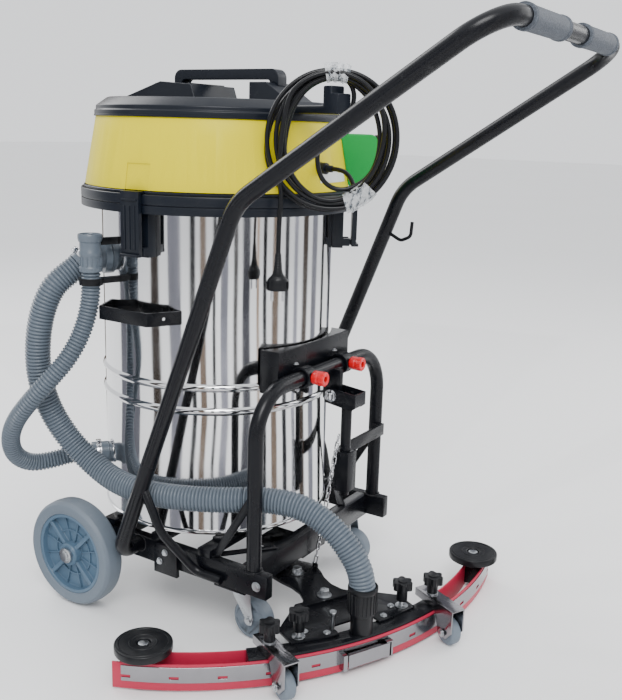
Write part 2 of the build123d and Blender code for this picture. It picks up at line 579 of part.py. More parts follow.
def cord_gear():
    angle = degrees(atan2(COIL_CENTRE[1], COIL_CENTRE[0]))
    reach = hypot(COIL_CENTRE[0], COIL_CENTRE[1])
    under = COIL_CENTRE[2] + COIL_HALF_HEIGHT - COIL_BUNDLE - 3.5
    hook = block(LID_RADIUS - 50, reach + 26, -15, 15, LID_TOP - 22, LID_TOP - 8)
    hook += block(reach - 10, reach + 10, -15, 15, LID_TOP - 22, under)
    hook += block(reach + 10, reach + 26, -15, 15, LID_TOP - 22, under - 12)
    hook = Rot(0, 0, angle) * hook - nodes["lid"] - cone(COWL_TOP, LID_TOP, LID_RADIUS - 1, LID_RADIUS - 1)
    keep("cord_hook", hook)
    end, after = Vector(*CORD_LEAD_ROUTE[0]), Vector(*CORD_LEAD_ROUTE[1])
    inward = (end - after).normalized()
    gland = bar(end + inward * 40, end, 6) + bar(end + inward * 40, end + inward * 12, 10)
    keep("cord_gland", gland - cowl_solid(GAP))

    across = (cos(radians(COIL_AZIMUTH)), sin(radians(COIL_AZIMUTH)), 0)
    facing = Vector(-sin(radians(COIL_AZIMUTH)), cos(radians(COIL_AZIMUTH)), 0) * -1
    middle = Vector(*COIL_CENTRE)
    face_plane = Plane(origin=middle - facing * (COIL_BUNDLE / 2), x_dir=across, z_dir=facing)
    ring = Ellipse(COIL_HALF_WIDTH, COIL_HALF_HEIGHT) - Ellipse(
        COIL_HALF_WIDTH - COIL_BUNDLE, COIL_HALF_HEIGHT - COIL_BUNDLE
    )
    keep("cord_coil", extrude(face_plane * ring, COIL_BUNDLE, dir=facing))

    for name, route in (("cord_lead", CORD_LEAD_ROUTE), ("cord_tail", CORD_TAIL_ROUTE)):
        keep(name, cord_tube(route, CORD_OD))
    x, y, top = CORD_TAIL_ROUTE[-1]
    plug = drum(x, y, top - 34, top, 5.5) + drum(x, y, top - 38, top - 10, 8)
    shell = Pos(x, y, top - 62) * Rot(0, 0, COIL_AZIMUTH) * extrude(Ellipse(19, 14), 26)
    pins = [
        Pos(x, y, 0) * Rot(0, 0, COIL_AZIMUTH) * drum(side * 9.5, 0, top - 81, top - 61, 2.4) for side in (-1, 1)
    ]
    keep("mains_plug", plug + shell + pins[0] + pins[1])


# ------------------------------------------------------------------ squeegee, straight and then swung
def arc_sector(r0, r1, z0, z1, half_angle, middle=0.0):
    """Part of a ring about the squeegee's own centre of curvature, angles counted from -Y."""
    a0, a1 = radians(-90 + middle - half_angle), radians(-90 + middle + half_angle)
    am = (a0 + a1) / 2

    def at(r, a):
        return (r * cos(a), ARC_CENTRE + r * sin(a), z0)

    outline = (
        ThreePointArc(at(r1, a0), at(r1, am), at(r1, a1)) + Line(at(r1, a1), at(r0, a1))
        + ThreePointArc(at(r0, a1), at(r0, am), at(r0, a0)) + Line(at(r0, a0), at(r1, a0))
    )
    return extrude(make_face(outline), z1 - z0, dir=(0, 0, 1))


def squeegee():
    own = {}
    # clevis that hangs under the pivot plate and turns on a vertical pin
    plate_low = RAIL_BOTTOM - 6 - GAP
    clevis = drum(0, SWING_PIVOT, plate_low - 9, plate_low, 24)
    clevis += drum(0, SWING_PIVOT, plate_low, RAIL_BOTTOM + 2, 8) + drum(0, SWING_PIVOT, RAIL_BOTTOM + GAP, RAIL_BOTTOM + 5, 14)
    for side in (-1, 1):
        x0, x1 = sorted((side * 16, side * 22))
        clevis += block(x0, x1, SWING_PIVOT - 10, SWING_PIVOT + 10, HINGE_Z - 10, plate_low - 4)
    hinge = ((-25, SWING_PIVOT, HINGE_Z), (25, SWING_PIVOT, HINGE_Z))
    clevis += bar(*hinge, 5)
    own["swing_clevis"] = [clevis]

    # arm: knuckle, neck and a plate that widens to the squeegee
    neck = [(-15.5, SWING_PIVOT), (15.5, SWING_PIVOT), (15.5, SWING_PIVOT - 20), (50, SWING_PIVOT - 70)]
    flank = [(44, -252), (37, -276), (35, -304), (42, -330), (62, -352)]
    half = neck[1:] + flank
    outline = half + [(-x, y) for x, y in reversed(half)]
    arm = plate(outline, ARM_TOP - ARM_THICK, ARM_TOP)
    arm += block(-15.5, 15.5, SWING_PIVOT - 18, SWING_PIVOT, ARM_TOP - ARM_THICK, HINGE_Z + 8)
    arm += bar((-15.5, SWING_PIVOT, HINGE_Z), (15.5, SWING_PIVOT, HINGE_Z), 10)
    arm -= bar(*hinge, 5 + RUN)
    arm -= drum(0, BOLT_Y[0], 0, 100, 6 + RUN) + drum(0, BOLT_Y[1], 0, 100, 6 + RUN)
    lug_x, lug_y = CHAIN_LUG
    lug = block(lug_x - 2, lug_x + 2, lug_y - 7, lug_y + 7, ARM_TOP, ARM_TOP + LUG_HEIGHT)
    arm += lug - bar((lug_x - 9, lug_y, ARM_TOP + 8), (lug_x + 9, lug_y, ARM_TOP + 8), 3)
    own["squeegee_arm"] = [arm]

    side = [(60, -330), (130, -392), (130, -440), (60, -452), (42, -452), (42, -424)]
    outline = side + [(-x, y) for x, y in reversed(side)]
    top_plate = plate(outline, BODY_TOP, PLATE_TOP)
    top_plate -= drum(0, BOLT_Y[1], 0, 100, 6 + RUN)
    for x in (-INNER_KNOB_X, INNER_KNOB_X):
        top_plate -= drum(x, INNER_KNOB_Y, 0, 100, 3 + RUN)

    body = arc_sector(BODY_INNER, BODY_OUTER, BLADE_BOTTOM + 8, BODY_TOP, BODY_HALF_ANGLE)
    body -= arc_sector(
        BODY_INNER + BODY_WALL, BODY_OUTER - BODY_WALL, 0, BODY_TOP - BODY_WALL - 1, BODY_HALF_ANGLE - 0.4
    )
    body -= drum(0, CUFF_Y, 0, 100, 12)
    own["squeegee_body"] = [body, top_plate] + [
        arc_sector(BODY_INNER, BODY_OUTER, BLADE_BOTTOM + 8, BODY_TOP, 1.8, side * 35.4) for side in (-1, 1)
    ]
    rear_outer = BODY_INNER - GAP
    own["squeegee_blades"] = [
        arc_sector(BLADE_OUTER - BLADE_THICK, BLADE_OUTER, BLADE_BOTTOM, BLADE_TOP, BLADE_HALF_ANGLE),
        arc_sector(rear_outer - BLADE_THICK, rear_outer, BLADE_BOTTOM, BLADE_TOP, BLADE_HALF_ANGLE),
    ]
    straps = []
    for inner in (BLADE_OUTER + GAP, rear_outer - BLADE_THICK - GAP - STRAP_THICK):
        strap = arc_sector(inner, inner + STRAP_THICK, STRAP_BOTTOM, STRAP_TOP, STRAP_HALF_ANGLE)
        for step in range(5):
            for side in (-1, 1):
                angle = side * (9.1 + step * SLOT_STEP)
                low = SLOT_Z - SLOT_HEIGHT / 2
                slot = block(-SLOT_LENGTH / 2, SLOT_LENGTH / 2, -inner - 8, -inner + 8, low, low + SLOT_HEIGHT)
                strap -= Pos(0, ARC_CENTRE, 0) * Rot(0, 0, angle) * slot
        straps.append(strap)
    # toggle latch on the front strap: fixed hook, hinge block with its pin, and the lever
    face = ARC_CENTRE - BLADE_OUTER - GAP - STRAP_THICK
    low, high = 12, 42
    straps[0] += block(-58, -50, face - 11, face + 3, low, high)
    hinge = block(42.5, 46, face - 9, face + 2.3, low, high)
    for z in (low, high - 2):
        hinge += block(33, 46, face - 9, face - 0.5, z, z + 2)
    pin = (38, face - 5)
    straps[0] += hinge + drum(*pin, low, high, 2)
    own["blade_straps"] = straps
    floor, roof = low + 2 + GAP, high - 2 - GAP
    latch = block(-47, pin[0], face - 9.9, face - 8.4, floor, roof) + drum(*pin, floor, roof, 3.8)
    for z in (floor, roof - 1.2):
        latch += block(-45, 22, face - 10, face - 3, z, z + 1.2)
    own["toggle_latch"] = [latch - drum(*pin, 0, 100, 2 + RUN)]

    # fasteners, all round about the vertical
    metal = []
    for y in BOLT_Y:
        metal.append(drum(0, y, PLATE_TOP - 8, ARM_TOP, 6) + drum(0, y, ARM_TOP, ARM_TOP + 2, 14) + drum(0, y, ARM_TOP + 2, ARM_TOP + 9, 9))
    metal.append(drum(-46, -436, PLATE_TOP, PLATE_TOP + 36, 3) + drum(-46, -436, PLATE_TOP + 32, PLATE_TOP + 36, 6))
    for x in (-INNER_KNOB_X, INNER_KNOB_X):
        stud = drum(x, INNER_KNOB_Y, BODY_TOP - 6, KNOB_TOP - 12, 3)
        metal.append(stud + drum(x, INNER_KNOB_Y, PLATE_TOP, PLATE_TOP + 2, 12) + drum(x, INNER_KNOB_Y, PLATE_TOP + 2, PLATE_TOP + 12, 5))
    bracket_top = BODY_TOP + 19
    for x in (-ROLLER_X, ROLLER_X):
        stud = drum(x, OUTER_KNOB_Y, BODY_TOP, KNOB_TOP - 12, 3)
        metal.append(stud + drum(x, OUTER_KNOB_Y, BODY_TOP, bracket_top - 2.5, 9))
        metal[-1] += drum(x, OUTER_KNOB_Y, bracket_top, bracket_top + 2, 11)
    for x in (-DISC_X, DISC_X):
        recess = DISC_BOTTOM + DISC_THICK - 5
        pin = drum(x, DISC_Y, BODY_TOP, recess + GAP, 4) + drum(x, DISC_Y, BODY_TOP, DISC_BOTTOM - GAP, 12)
        metal.append(pin + drum(x, DISC_Y, recess + GAP, DISC_BOTTOM + DISC_THICK - 1, 9))
    own["squeegee_fasteners"] = metal

    # inverted U brackets that carry the small rollers
    brackets = []
    wall = 2.5
    half = ROLLER_WIDTH / 2 + 1 + wall
    flange_outline = [
        (-405, bracket_top), (-405, BODY_TOP + 4), (-463, BODY_TOP + 2), (ROLLER_Y + 14, ROLLER_RADIUS - 6),
        (ROLLER_Y - 8, ROLLER_RADIUS - 10), (ROLLER_Y - 22, ROLLER_RADIUS + 6), (ROLLER_Y - 22, bracket_top),
    ]
    for x in (-ROLLER_X, ROLLER_X):
        bracket = block(x - half, x + half, ROLLER_Y - 22, -405, bracket_top - wall, bracket_top)
        bracket += side_plate(flange_outline, x - half, x - half + wall)
        bracket += side_plate(flange_outline, x + half - wall, x + half)
        bracket -= drum(x, OUTER_KNOB_Y, 0, 100, 3 + RUN)
        bracket += bar((x - half - 3, ROLLER_Y, ROLLER_RADIUS), (x + half + 3, ROLLER_Y, ROLLER_RADIUS), 4)
        brackets.append(bracket)
    own["roller_brackets"] = brackets
    half = ROLLER_WIDTH / 2
    roller = turned(
        [(4 + RUN, -half), (ROLLER_RADIUS - 4, -half), (ROLLER_RADIUS, -half + 4), (ROLLER_RADIUS, half - 4),
         (ROLLER_RADIUS - 4, half), (4 + RUN, half)]
    )
    own["roller_left"] = [Pos(-ROLLER_X, ROLLER_Y, ROLLER_RADIUS) * Rot(0, 90, 0) * roller]
    own["roller_right"] = [Pos(ROLLER_X, ROLLER_Y, ROLLER_RADIUS) * Rot(0, 90, 0) * roller]

    # round bumper wheels at the ends of the blades
    for side, name in ((-1, "left"), (1, "right")):
        disc = drum(side * DISC_X, DISC_Y, DISC_BOTTOM, DISC_BOTTOM + DISC_THICK, DISC_RADIUS, 4 + RUN)
        disc -= drum(side * DISC_X, DISC_Y, DISC_BOTTOM + DISC_THICK - 5, DISC_BOTTOM + DISC_THICK, 12)
        own["bumper_" + name] = [disc]

    # star knobs
    for side, name in ((-1, "left"), (1, "right")):
        own["knob_outer_" + name] = [star_knob(side * ROLLER_X, OUTER_KNOB_Y, bracket_top + 2)]
        own["knob_inner_" + name] = [star_knob(side * INNER_KNOB_X, INNER_KNOB_Y, PLATE_TOP + 12)]

    cuff = drum(0, CUFF_Y, PLATE_TOP - 4, 93, 20) + drum(0, CUFF_Y, 93, CUFF_TOP, CUFF_RADIUS)
    cuff -= drum(0, CUFF_Y, 0, CUFF_TOP - 30, 15) + drum(0, CUFF_Y, CUFF_TOP - 30, CUFF_TOP, SUCTION_OD / 2 + 0.4)
    own["hose_cuff"] = [cuff]

    for name, solids in own.items():
        keep(name, *[turn_about_z(solid, SWING_NOW, 0, SWING_PIVOT) for solid in solids])


def star_knob(x, y, bottom):
    lobes = 6
    head_bottom = KNOB_TOP - 15
    knob = drum(x, y, head_bottom, KNOB_TOP, KNOB_RADIUS - 4)
    for index in range(lobes):
        spot = polar(KNOB_RADIUS - 5.5, index * 360 / lobes, 0)
        knob += drum(x + spot[0], y + spot[1], head_bottom, KNOB_TOP, 5.5)
    knob += drum(x, y, bottom + GAP, head_bottom, 10)
    return knob - drum(x, y, bottom, KNOB_TOP - 11, 3 + RUN)


# ------------------------------------------------------------------ lift gear
def lift_gear():
    bar_back, bar_low = FRAME_Y + FRAME_TUBE, FRAME_TOP - FRAME_TUBE
    half_height = 38.0
    saddle = block(-122, 122, FRAME_Y + FRAME_TUBE + 6, -180, FRAME_TOP + 10 - half_height, FRAME_TOP + 14 + half_height)
    saddle -= drum(0, 0, 300, 700, TANK_RADIUS + BEAD + 1)
    front = FRAME_Y + FRAME_TUBE + 6
    clamps, caps = [], []
    for x in (-67.0, 67.0):
        ring = bar((x - 13, FRAME_Y, FRAME_TOP), (x + 13, FRAME_Y, FRAME_TOP), 20) + block(x - 13, x + 13, FRAME_Y, front, FRAME_TOP - 20, FRAME_TOP + 12)
        ring -= bar((x - 20, FRAME_Y, FRAME_TOP), (x + 20, FRAME_Y, FRAME_TOP), FRAME_TUBE + RUN)
        clamps.append(ring - block(x - 40, x + 40, front, 0, 0, 900))
        caps.append(bar((x, FRAME_Y - 20.5, FRAME_TOP + 3), (x, FRAME_Y - 46, FRAME_TOP + 3), 13) - bar((x, FRAME_Y - 36, FRAME_TOP + 3), (x, FRAME_Y - 46, FRAME_TOP + 3), 6))
    keep("frame_clamps", saddle, *clamps)
    keep("clamp_knobs", *caps)

    pivot_y, pivot_z = LEVER_PIVOT
    x0, x1 = LEVER_X - LEVER_HALF_WIDTH, LEVER_X + LEVER_HALF_WIDTH
    lug = block(LEVER_X - 6, LEVER_X + 6, pivot_y - 10, FRAME_Y + 9, pivot_z - 12, FRAME_TOP)
    lug -= bar((x0, FRAME_Y, FRAME_TOP), (x1, FRAME_Y, FRAME_TOP), FRAME_TUBE)
    bolt = bar((x0 - 3, pivot_y, pivot_z), (x1 + 3, pivot_y, pivot_z), 5)
    for side, x in ((-1, x0 - GAP), (1, x1 + GAP)):
        bolt += bar((x, pivot_y, pivot_z), (x + side * 2, pivot_y, pivot_z), 12)
        bolt += bar((x + side * 2, pivot_y, pivot_z), (x + side * 9, pivot_y, pivot_z), 8)
    lug -= bar((x0, pivot_y, pivot_z), (x1, pivot_y, pivot_z), 5)
    sleeve = block(LEVER_X - 16, LEVER_X + 16, ROD_Y - 16, ROD_Y + 16, GUIDE_BOTTOM, GUIDE_TOP)
    sleeve -= drum(LEVER_X, ROD_Y, GUIDE_BOTTOM, GUIDE_TOP, ROD_RADIUS + RUN)
    arm_bar = block(LEVER_X + 16, RAIL_X, FRAME_Y - 21, FRAME_Y - 15, GUIDE_TOP - 26, GUIDE_TOP - 2)
    arm_bar += block(RAIL_X - 14, RAIL_X, FRAME_Y - 15, FRAME_Y, GUIDE_TOP - 26, GUIDE_TOP - 2)
    arm_bar -= drum(RAIL_X, FRAME_Y, GUIDE_BOTTOM, GUIDE_TOP, FRAME_TUBE)
    keep("lift_guide", lug, bolt, sleeve, arm_bar)

    wall = 3.0
    cheek = [(pivot_y + 14, LEVER_BOTTOM + 8), (pivot_y + 14, LEVER_TOP - 4), (pivot_y + 8, LEVER_TOP),
             (LEVER_FRONT, LEVER_TOP - 6), (LEVER_FRONT, LEVER_BOTTOM + 6), (LEVER_FRONT + 8, LEVER_BOTTOM)]
    lever = side_plate(cheek, x0, x0 + wall) + side_plate(cheek, x1 - wall, x1)
    lever += block(x0, x1, LEVER_FRONT, LEVER_FRONT + wall, LEVER_BOTTOM + 6, LEVER_TOP - 6)
    for side, x in ((1, x0 + wall), (-1, x1 - wall)):
        lever += bar((x, ROD_Y, pivot_z), (x + side * 6, ROD_Y, pivot_z), 5)
    lever -= bar((x0 - 1, pivot_y, pivot_z), (x1 + 1, pivot_y, pivot_z), 5 + RUN)
    keep("lift_lever", lever)
    keep("lift_rod", drum(LEVER_X, ROD_Y, ROD_BOTTOM, pivot_z - 6, ROD_RADIUS))


def chain():
    """Hanging chain between the rod and the lug on the squeegee's arm, as one thin bar."""
    lug = swung(*CHAIN_LUG, ARM_TOP + LUG_HEIGHT + 1)
    keep("lift_chain", bar((lug[0], ROD_Y, CHAIN_TOP), lug, 4))


def swung(x, y, z=0.0):
    """A point of the straight squeegee, where the swing puts it at rest."""
    angle = radians(SWING_NOW)
    dy = y - SWING_PIVOT
    return (x * cos(angle) - dy * sin(angle), SWING_PIVOT + x * sin(angle) + dy * cos(angle), z)


def build():
    wheels()
    castors()
    lift_frame()
    chassis(handle())
    tank()
    tank_fixtures()
    head()
    cord_gear()
    squeegee()
    lift_gear()
    chain()
    for name, route, diameter in (
        ("suction_hose", SUCTION_ROUTE, SUCTION_OD),
        ("suction_hose_end", SUCTION_END_ROUTE, SUCTION_OD),
        ("drain_hose", DRAIN_ROUTE, DRAIN_OD),
    ):
        keep(name, cord_tube(route, diameter))


def shift():
    """How far the model moves so that its box is centred on the origin, cords left out."""
    cords = {"cord_coil", "cord_tail", "cord_lead", "mains_plug", "suction_hose", "suction_hose_end", "drain_hose", "drain_cuff"}
    boxes = [shape.bounding_box() for name, shape in nodes.items() if name not in cords]
    x = (min(b.min.X for b in boxes) + max(b.max.X for b in boxes)) / 2
    y = (min(b.min.Y for b in boxes) + max(b.max.Y for b in boxes)) / 2
    return -x, -y


build()
SHIFT = shift()
os.makedirs("parts", exist_ok=True)
for name, shape in nodes.items():
    export_step(Pos(*SHIFT, 0) * shape, "parts/" + name + ".step")
print("nodes", len(nodes), "shift", SHIFT)
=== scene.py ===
"""Looks of a wet-dry vacuum on a trolley, built round its packed CAD model."""

import json
from math import atan2, cos, hypot, pi, radians, sin, sqrt

import bpy
from bpy.props import FloatProperty, FloatVectorProperty, IntProperty, PointerProperty
from mathutils import Matrix, Vector, noise
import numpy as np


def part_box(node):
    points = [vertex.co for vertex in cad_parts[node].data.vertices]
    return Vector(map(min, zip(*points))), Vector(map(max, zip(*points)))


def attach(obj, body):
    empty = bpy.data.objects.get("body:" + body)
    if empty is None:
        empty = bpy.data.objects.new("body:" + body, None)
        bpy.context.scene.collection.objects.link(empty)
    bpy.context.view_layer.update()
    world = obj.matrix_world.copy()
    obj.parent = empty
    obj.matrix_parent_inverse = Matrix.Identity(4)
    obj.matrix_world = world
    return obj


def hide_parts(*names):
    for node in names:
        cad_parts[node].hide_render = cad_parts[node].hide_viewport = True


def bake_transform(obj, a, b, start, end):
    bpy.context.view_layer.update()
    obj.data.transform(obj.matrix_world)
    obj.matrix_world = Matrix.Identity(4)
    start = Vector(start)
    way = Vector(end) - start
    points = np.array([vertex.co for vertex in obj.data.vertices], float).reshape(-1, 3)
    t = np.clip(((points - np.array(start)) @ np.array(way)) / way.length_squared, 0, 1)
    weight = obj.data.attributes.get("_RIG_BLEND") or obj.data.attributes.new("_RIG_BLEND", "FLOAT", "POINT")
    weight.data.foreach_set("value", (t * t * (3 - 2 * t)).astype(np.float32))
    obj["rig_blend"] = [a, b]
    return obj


bl_info = {
    "name": "Wet-dry vacuum trolley",
    "version": (1, 0, 0),
    "blender": (4, 5, 0),
    "location": "View3D > Sidebar > Vacuum",
    "description": "Builds the looks of a wet-dry vacuum trolley round its CAD frame",
    "category": "Object",
}

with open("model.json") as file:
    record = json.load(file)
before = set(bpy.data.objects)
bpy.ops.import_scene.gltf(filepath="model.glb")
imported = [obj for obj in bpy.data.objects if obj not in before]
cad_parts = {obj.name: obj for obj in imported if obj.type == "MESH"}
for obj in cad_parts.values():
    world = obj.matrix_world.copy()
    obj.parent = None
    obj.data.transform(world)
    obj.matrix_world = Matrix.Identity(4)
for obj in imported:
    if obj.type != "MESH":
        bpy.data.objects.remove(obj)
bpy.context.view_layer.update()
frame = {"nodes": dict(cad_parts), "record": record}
NODES = frame["nodes"]
BODY_OF = {node: body for body, group in frame["record"]["behaviour"]["bodies"].items() for node in group}
SLOT_OF = {part["node"]: part["material_slot"] for part in frame["record"]["subparts"]}

# Lengths are in metres. Places are given from the tank's axis at the floor, and SHIFT moves them
# into the row frame.
SHIFT = Vector((0.0732031, 0.2095, 0.0))
SWING_PIVOT = Vector((0.0, -0.150, 0.0))
SWING_NOW = radians(-26.4)
TANK_RADIUS = 0.220
TANK_BOTTOM = 0.172
TANK_TOP = 0.758
TANK_WALL = 0.0015
BEAD_HEIGHTS = (0.4085, 0.452)
COWL_BOTTOM_RADIUS = 0.249
COWL_TOP_RADIUS = 0.2266
LATCH_ANGLES = {"left": -176, "rear": -56, "right": 64}
CASTOR_X = 0.180
CASTOR_Y = -0.203
AXLE_Y = 0.129
AXLE_Z = 0.104
HUB_RADIUS = 0.0785
SIDES = ((-1, "left"), (1, "right"))

# Routes of the hoses and the cord.
SUCTION_ROUTE = [
    (-0.2405, 0.1333, 0.6512), (-0.2659, 0.1473, 0.6316), (-0.284, 0.158, 0.610), (-0.297, 0.170, 0.568),
    (-0.303, 0.178, 0.512), (-0.301, 0.180, 0.448), (-0.289, 0.168, 0.384), (-0.270, 0.140, 0.326),
    (-0.254, 0.098, 0.284), (-0.249, 0.042, 0.258), (-0.2445, -0.022, 0.252), (-0.236, -0.096, 0.256),
    (-0.205, -0.172, 0.260), (-0.188, -0.2075, 0.264),
]
SUCTION_END_ROUTE = [
    (-0.188, -0.2075, 0.264), (-0.171, -0.243, 0.268), (-0.152, -0.310, 0.264), (-0.144, -0.366, 0.236),
    (-0.139, -0.407, 0.192), (-0.1365, -0.425, 0.152), (-0.1365, -0.425, 0.113),
]
DRAIN_ROUTE = [
    (-0.1958, 0.1585, 0.275), (-0.2238, 0.1812, 0.275), (-0.256, 0.206, 0.266), (-0.291, 0.225, 0.266),
    (-0.324, 0.229, 0.290), (-0.345, 0.216, 0.329), (-0.354, 0.190, 0.372), (-0.349, 0.155, 0.414),
    (-0.330, 0.123, 0.455), (-0.303, 0.101, 0.493), (-0.280, 0.089, 0.536), (-0.266, 0.082, 0.582),
    (-0.262, 0.079, 0.622), (-0.262, 0.079, 0.655),
]
CORD_LEAD_ROUTE = [(-0.0234, -0.267, 0.838), (-0.0251, -0.287, 0.838), (-0.029, -0.3055, 0.828),
                   (-0.038, -0.321, 0.810)]
CORD_TAIL_ROUTE = [(-0.139, -0.240, 0.800), (-0.145, -0.241, 0.760), (-0.148, -0.242, 0.725),
                   (-0.148, -0.242, 0.700)]
COIL_CENTRE = Vector((-0.085, -0.302, 0.888))
COIL_ACROSS = Vector((cos(radians(-58)), sin(radians(-58)), 0))
COIL_FACING = Vector((sin(radians(-58)), -cos(radians(-58)), 0))


def row(point):
    """A point of the design frame in the row frame."""
    return Vector(point) + SHIFT


def turned(angle):
    """The place that turns a shape about the tank's axis, in degrees."""
    return Matrix.Translation(SHIFT) @ Matrix.Rotation(radians(angle), 4, "Z")


def swung(x, y, z):
    """A point of the straight squeegee, where the swing puts it, in the row frame."""
    return row(Matrix.Rotation(SWING_NOW, 4, "Z") @ (Vector((x, y, z)) - SWING_PIVOT) + SWING_PIVOT)


# ---------------------------------------------------------------- sizes and colours a user may change
class VacuumHoses(bpy.types.PropertyGroup):
    """Corrugated hoses."""
    ridge_pitch: FloatProperty(
        name="Ridge pitch", description="Distance from ridge to ridge",
        default=0.0064, min=0.003, max=0.02, unit="LENGTH")
    ridge_depth: FloatProperty(
        name="Ridge depth", description="How far the ridges stand out of the hose",
        default=0.0031, min=0.0005, max=0.006, unit="LENGTH")
    suction_diameter: FloatProperty(
        name="Suction hose", description="Outside diameter of the suction hose",
        default=0.046, min=0.02, max=0.06, unit="LENGTH")
    drain_diameter: FloatProperty(
        name="Drain hose", description="Outside diameter of the drain hose",
        default=0.034, min=0.02, max=0.05, unit="LENGTH")
    colour: FloatVectorProperty(
        name="Hose colour", description="Plastic of both hoses",
        default=(0.095, 0.118, 0.145), size=3, min=0, max=1, subtype="COLOR")


class VacuumCord(bpy.types.PropertyGroup):
    """Mains cord wound into a coil."""
    diameter: FloatProperty(
        name="Diameter", description="Thickness of the cord",
        default=0.008, min=0.005, max=0.012, unit="LENGTH")
    turns: IntProperty(name="Turns", description="Whole turns of the coil", default=5, min=2, max=8)
    half_width: FloatProperty(
        name="Half width", description="From the coil's centre to the middle of its bundle, across",
        default=0.092, min=0.06, max=0.15, unit="LENGTH")
    half_height: FloatProperty(
        name="Half height", description="From the coil's centre to the middle of its bundle, upwards",
        default=0.106, min=0.06, max=0.15, unit="LENGTH")
    colour: FloatVectorProperty(
        name="Cord colour", description="Rubber of the cord and plug",
        default=(0.004, 0.0045, 0.006), size=3, min=0, max=1, subtype="COLOR")


class VacuumBody(bpy.types.PropertyGroup):
    """Finishes of the vacuum and its trolley."""
    edge: FloatProperty(
        name="Edge rounding", description="Factor on the rounding of all pressed and moulded edges",
        default=1.0, min=0.2, max=2.0, subtype="FACTOR")
    frame_colour: FloatVectorProperty(
        name="Frame colour", description="Powder coat of the trolley",
        default=(0.0035, 0.004, 0.006), size=3, min=0, max=1, subtype="COLOR")
    head_colour: FloatVectorProperty(
        name="Head colour", description="Black plastic of the head and collar",
        default=(0.005, 0.0075, 0.013), size=3, min=0, max=1, subtype="COLOR")
    cowl_colour: FloatVectorProperty(
        name="Cowl colour", description="Yellow plastic of the cowl",
        default=(0.66, 0.56, 0.0), size=3, min=0, max=1, subtype="COLOR")
    panel_colour: FloatVectorProperty(
        name="Panel colour", description="Green plastic of the side panel",
        default=(0.0, 0.26, 0.045), size=3, min=0, max=1, subtype="COLOR")
    tyre_colour: FloatVectorProperty(
        name="Tyre colour", description="Grey rubber of wheels and rollers",
        default=(0.125, 0.155, 0.19), size=3, min=0, max=1, subtype="COLOR")
    hub_colour: FloatVectorProperty(
        name="Hub colour", description="Blue-grey plastic of the big wheels' hubs",
        default=(0.072, 0.125, 0.185), size=3, min=0, max=1, subtype="COLOR")
    blade_colour: FloatVectorProperty(
        name="Blade colour", description="Squeegee rubber",
        default=(0.43, 0.014, 0.05), size=3, min=0, max=1, subtype="COLOR")
    cap_colour: FloatVectorProperty(
        name="Cap colour", description="Clamp knobs",
        default=(0.66, 0.002, 0.008), size=3, min=0, max=1, subtype="COLOR")


# ---------------------------------------------------------------- shader arithmetic
class Wire:
    """A socket that takes Python arithmetic: an expression on wires adds its Math nodes."""

    def __init__(self, finish, socket):
        self.finish, self.socket = finish, socket

    def _math(self, operation, first, second):
        return self.finish.node("Math", {"operation": operation}, {0: first, 1: second})

    def __add__(self, other):
        return self._math("ADD", self, other)

    def __radd__(self, other):
        return self._math("ADD", other, self)

    def __sub__(self, other):
        return self._math("SUBTRACT", self, other)

    def __rsub__(self, other):
        return self._math("SUBTRACT", other, self)

    def __mul__(self, other):
        return self._math("MULTIPLY", self, other)

    def __rmul__(self, other):
        return self._math("MULTIPLY", other, self)

    def span(self, low, high):
        """0 at the low value, 1 at the high one, and held between."""
        return self.finish.node("MapRange", {"clamp": True}, {0: self, 1: low, 2: high})


class Finish:
    """A material whose pattern is made by nodes."""

    def __init__(self, name, **constants):
        self.material = bpy.data.materials.new(name)
        self.material.use_nodes = True
        self.tree = self.material.node_tree
        self.shader = self.tree.nodes["Principled BSDF"]
        for socket, value in constants.items():
            self.shader.inputs[socket.replace("_", " ")].default_value = value
        self.place = self.node("TexCoord", out="Object")

    def node(self, kind, settings=None, sockets=None, out=0):
        """Adds a node: its settings first, then the values or links of its sockets."""
        made = self.tree.nodes.new("ShaderNode" + kind)
        for key, value in (settings or {}).items():
            setattr(made, key, value)
        for key, value in (sockets or {}).items():
            if isinstance(value, Wire):
                self.tree.links.new(value.socket, made.inputs[key])
            else:
                made.inputs[key].default_value = value
        return Wire(self, made.outputs[out])

    def noise(self, scale, detail=2.0, rough=0.5, stretch=None):
        """Soft noise, stretched along an axis if three factors are given."""
        place = self.place
        if stretch:
            place = self.node("Mapping", {}, {"Vector": place, "Scale": stretch})
        sockets = {"Vector": place, "Scale": scale, "Detail": detail, "Roughness": rough}
        return self.node("TexNoise", {}, sockets)

    def mix(self, factor, first, second):
        """Colour between two others."""
        return self.node("Mix", {"data_type": "RGBA"}, {0: factor, 6: first, 7: second}, out=2)

    def feed(self, socket, wire):
        """Links a wire to a socket of the shader."""
        self.tree.links.new(wire.socket, self.shader.inputs[socket])

    def relief(self, *layers):
        """Bump made of (height, strength, depth in metres) layers, one over the other."""
        normal = None
        for height, strength, depth in layers:
            sockets = {"Height": height, "Strength": strength, "Distance": depth}
            if normal:
                sockets["Normal"] = normal
            normal = self.node("Bump", {}, sockets)
        self.feed("Normal", normal)


def shade(colour, factor):
    """A colour made lighter or darker."""
    return tuple(min(1.0, part * factor) for part in colour) + (1.0,)


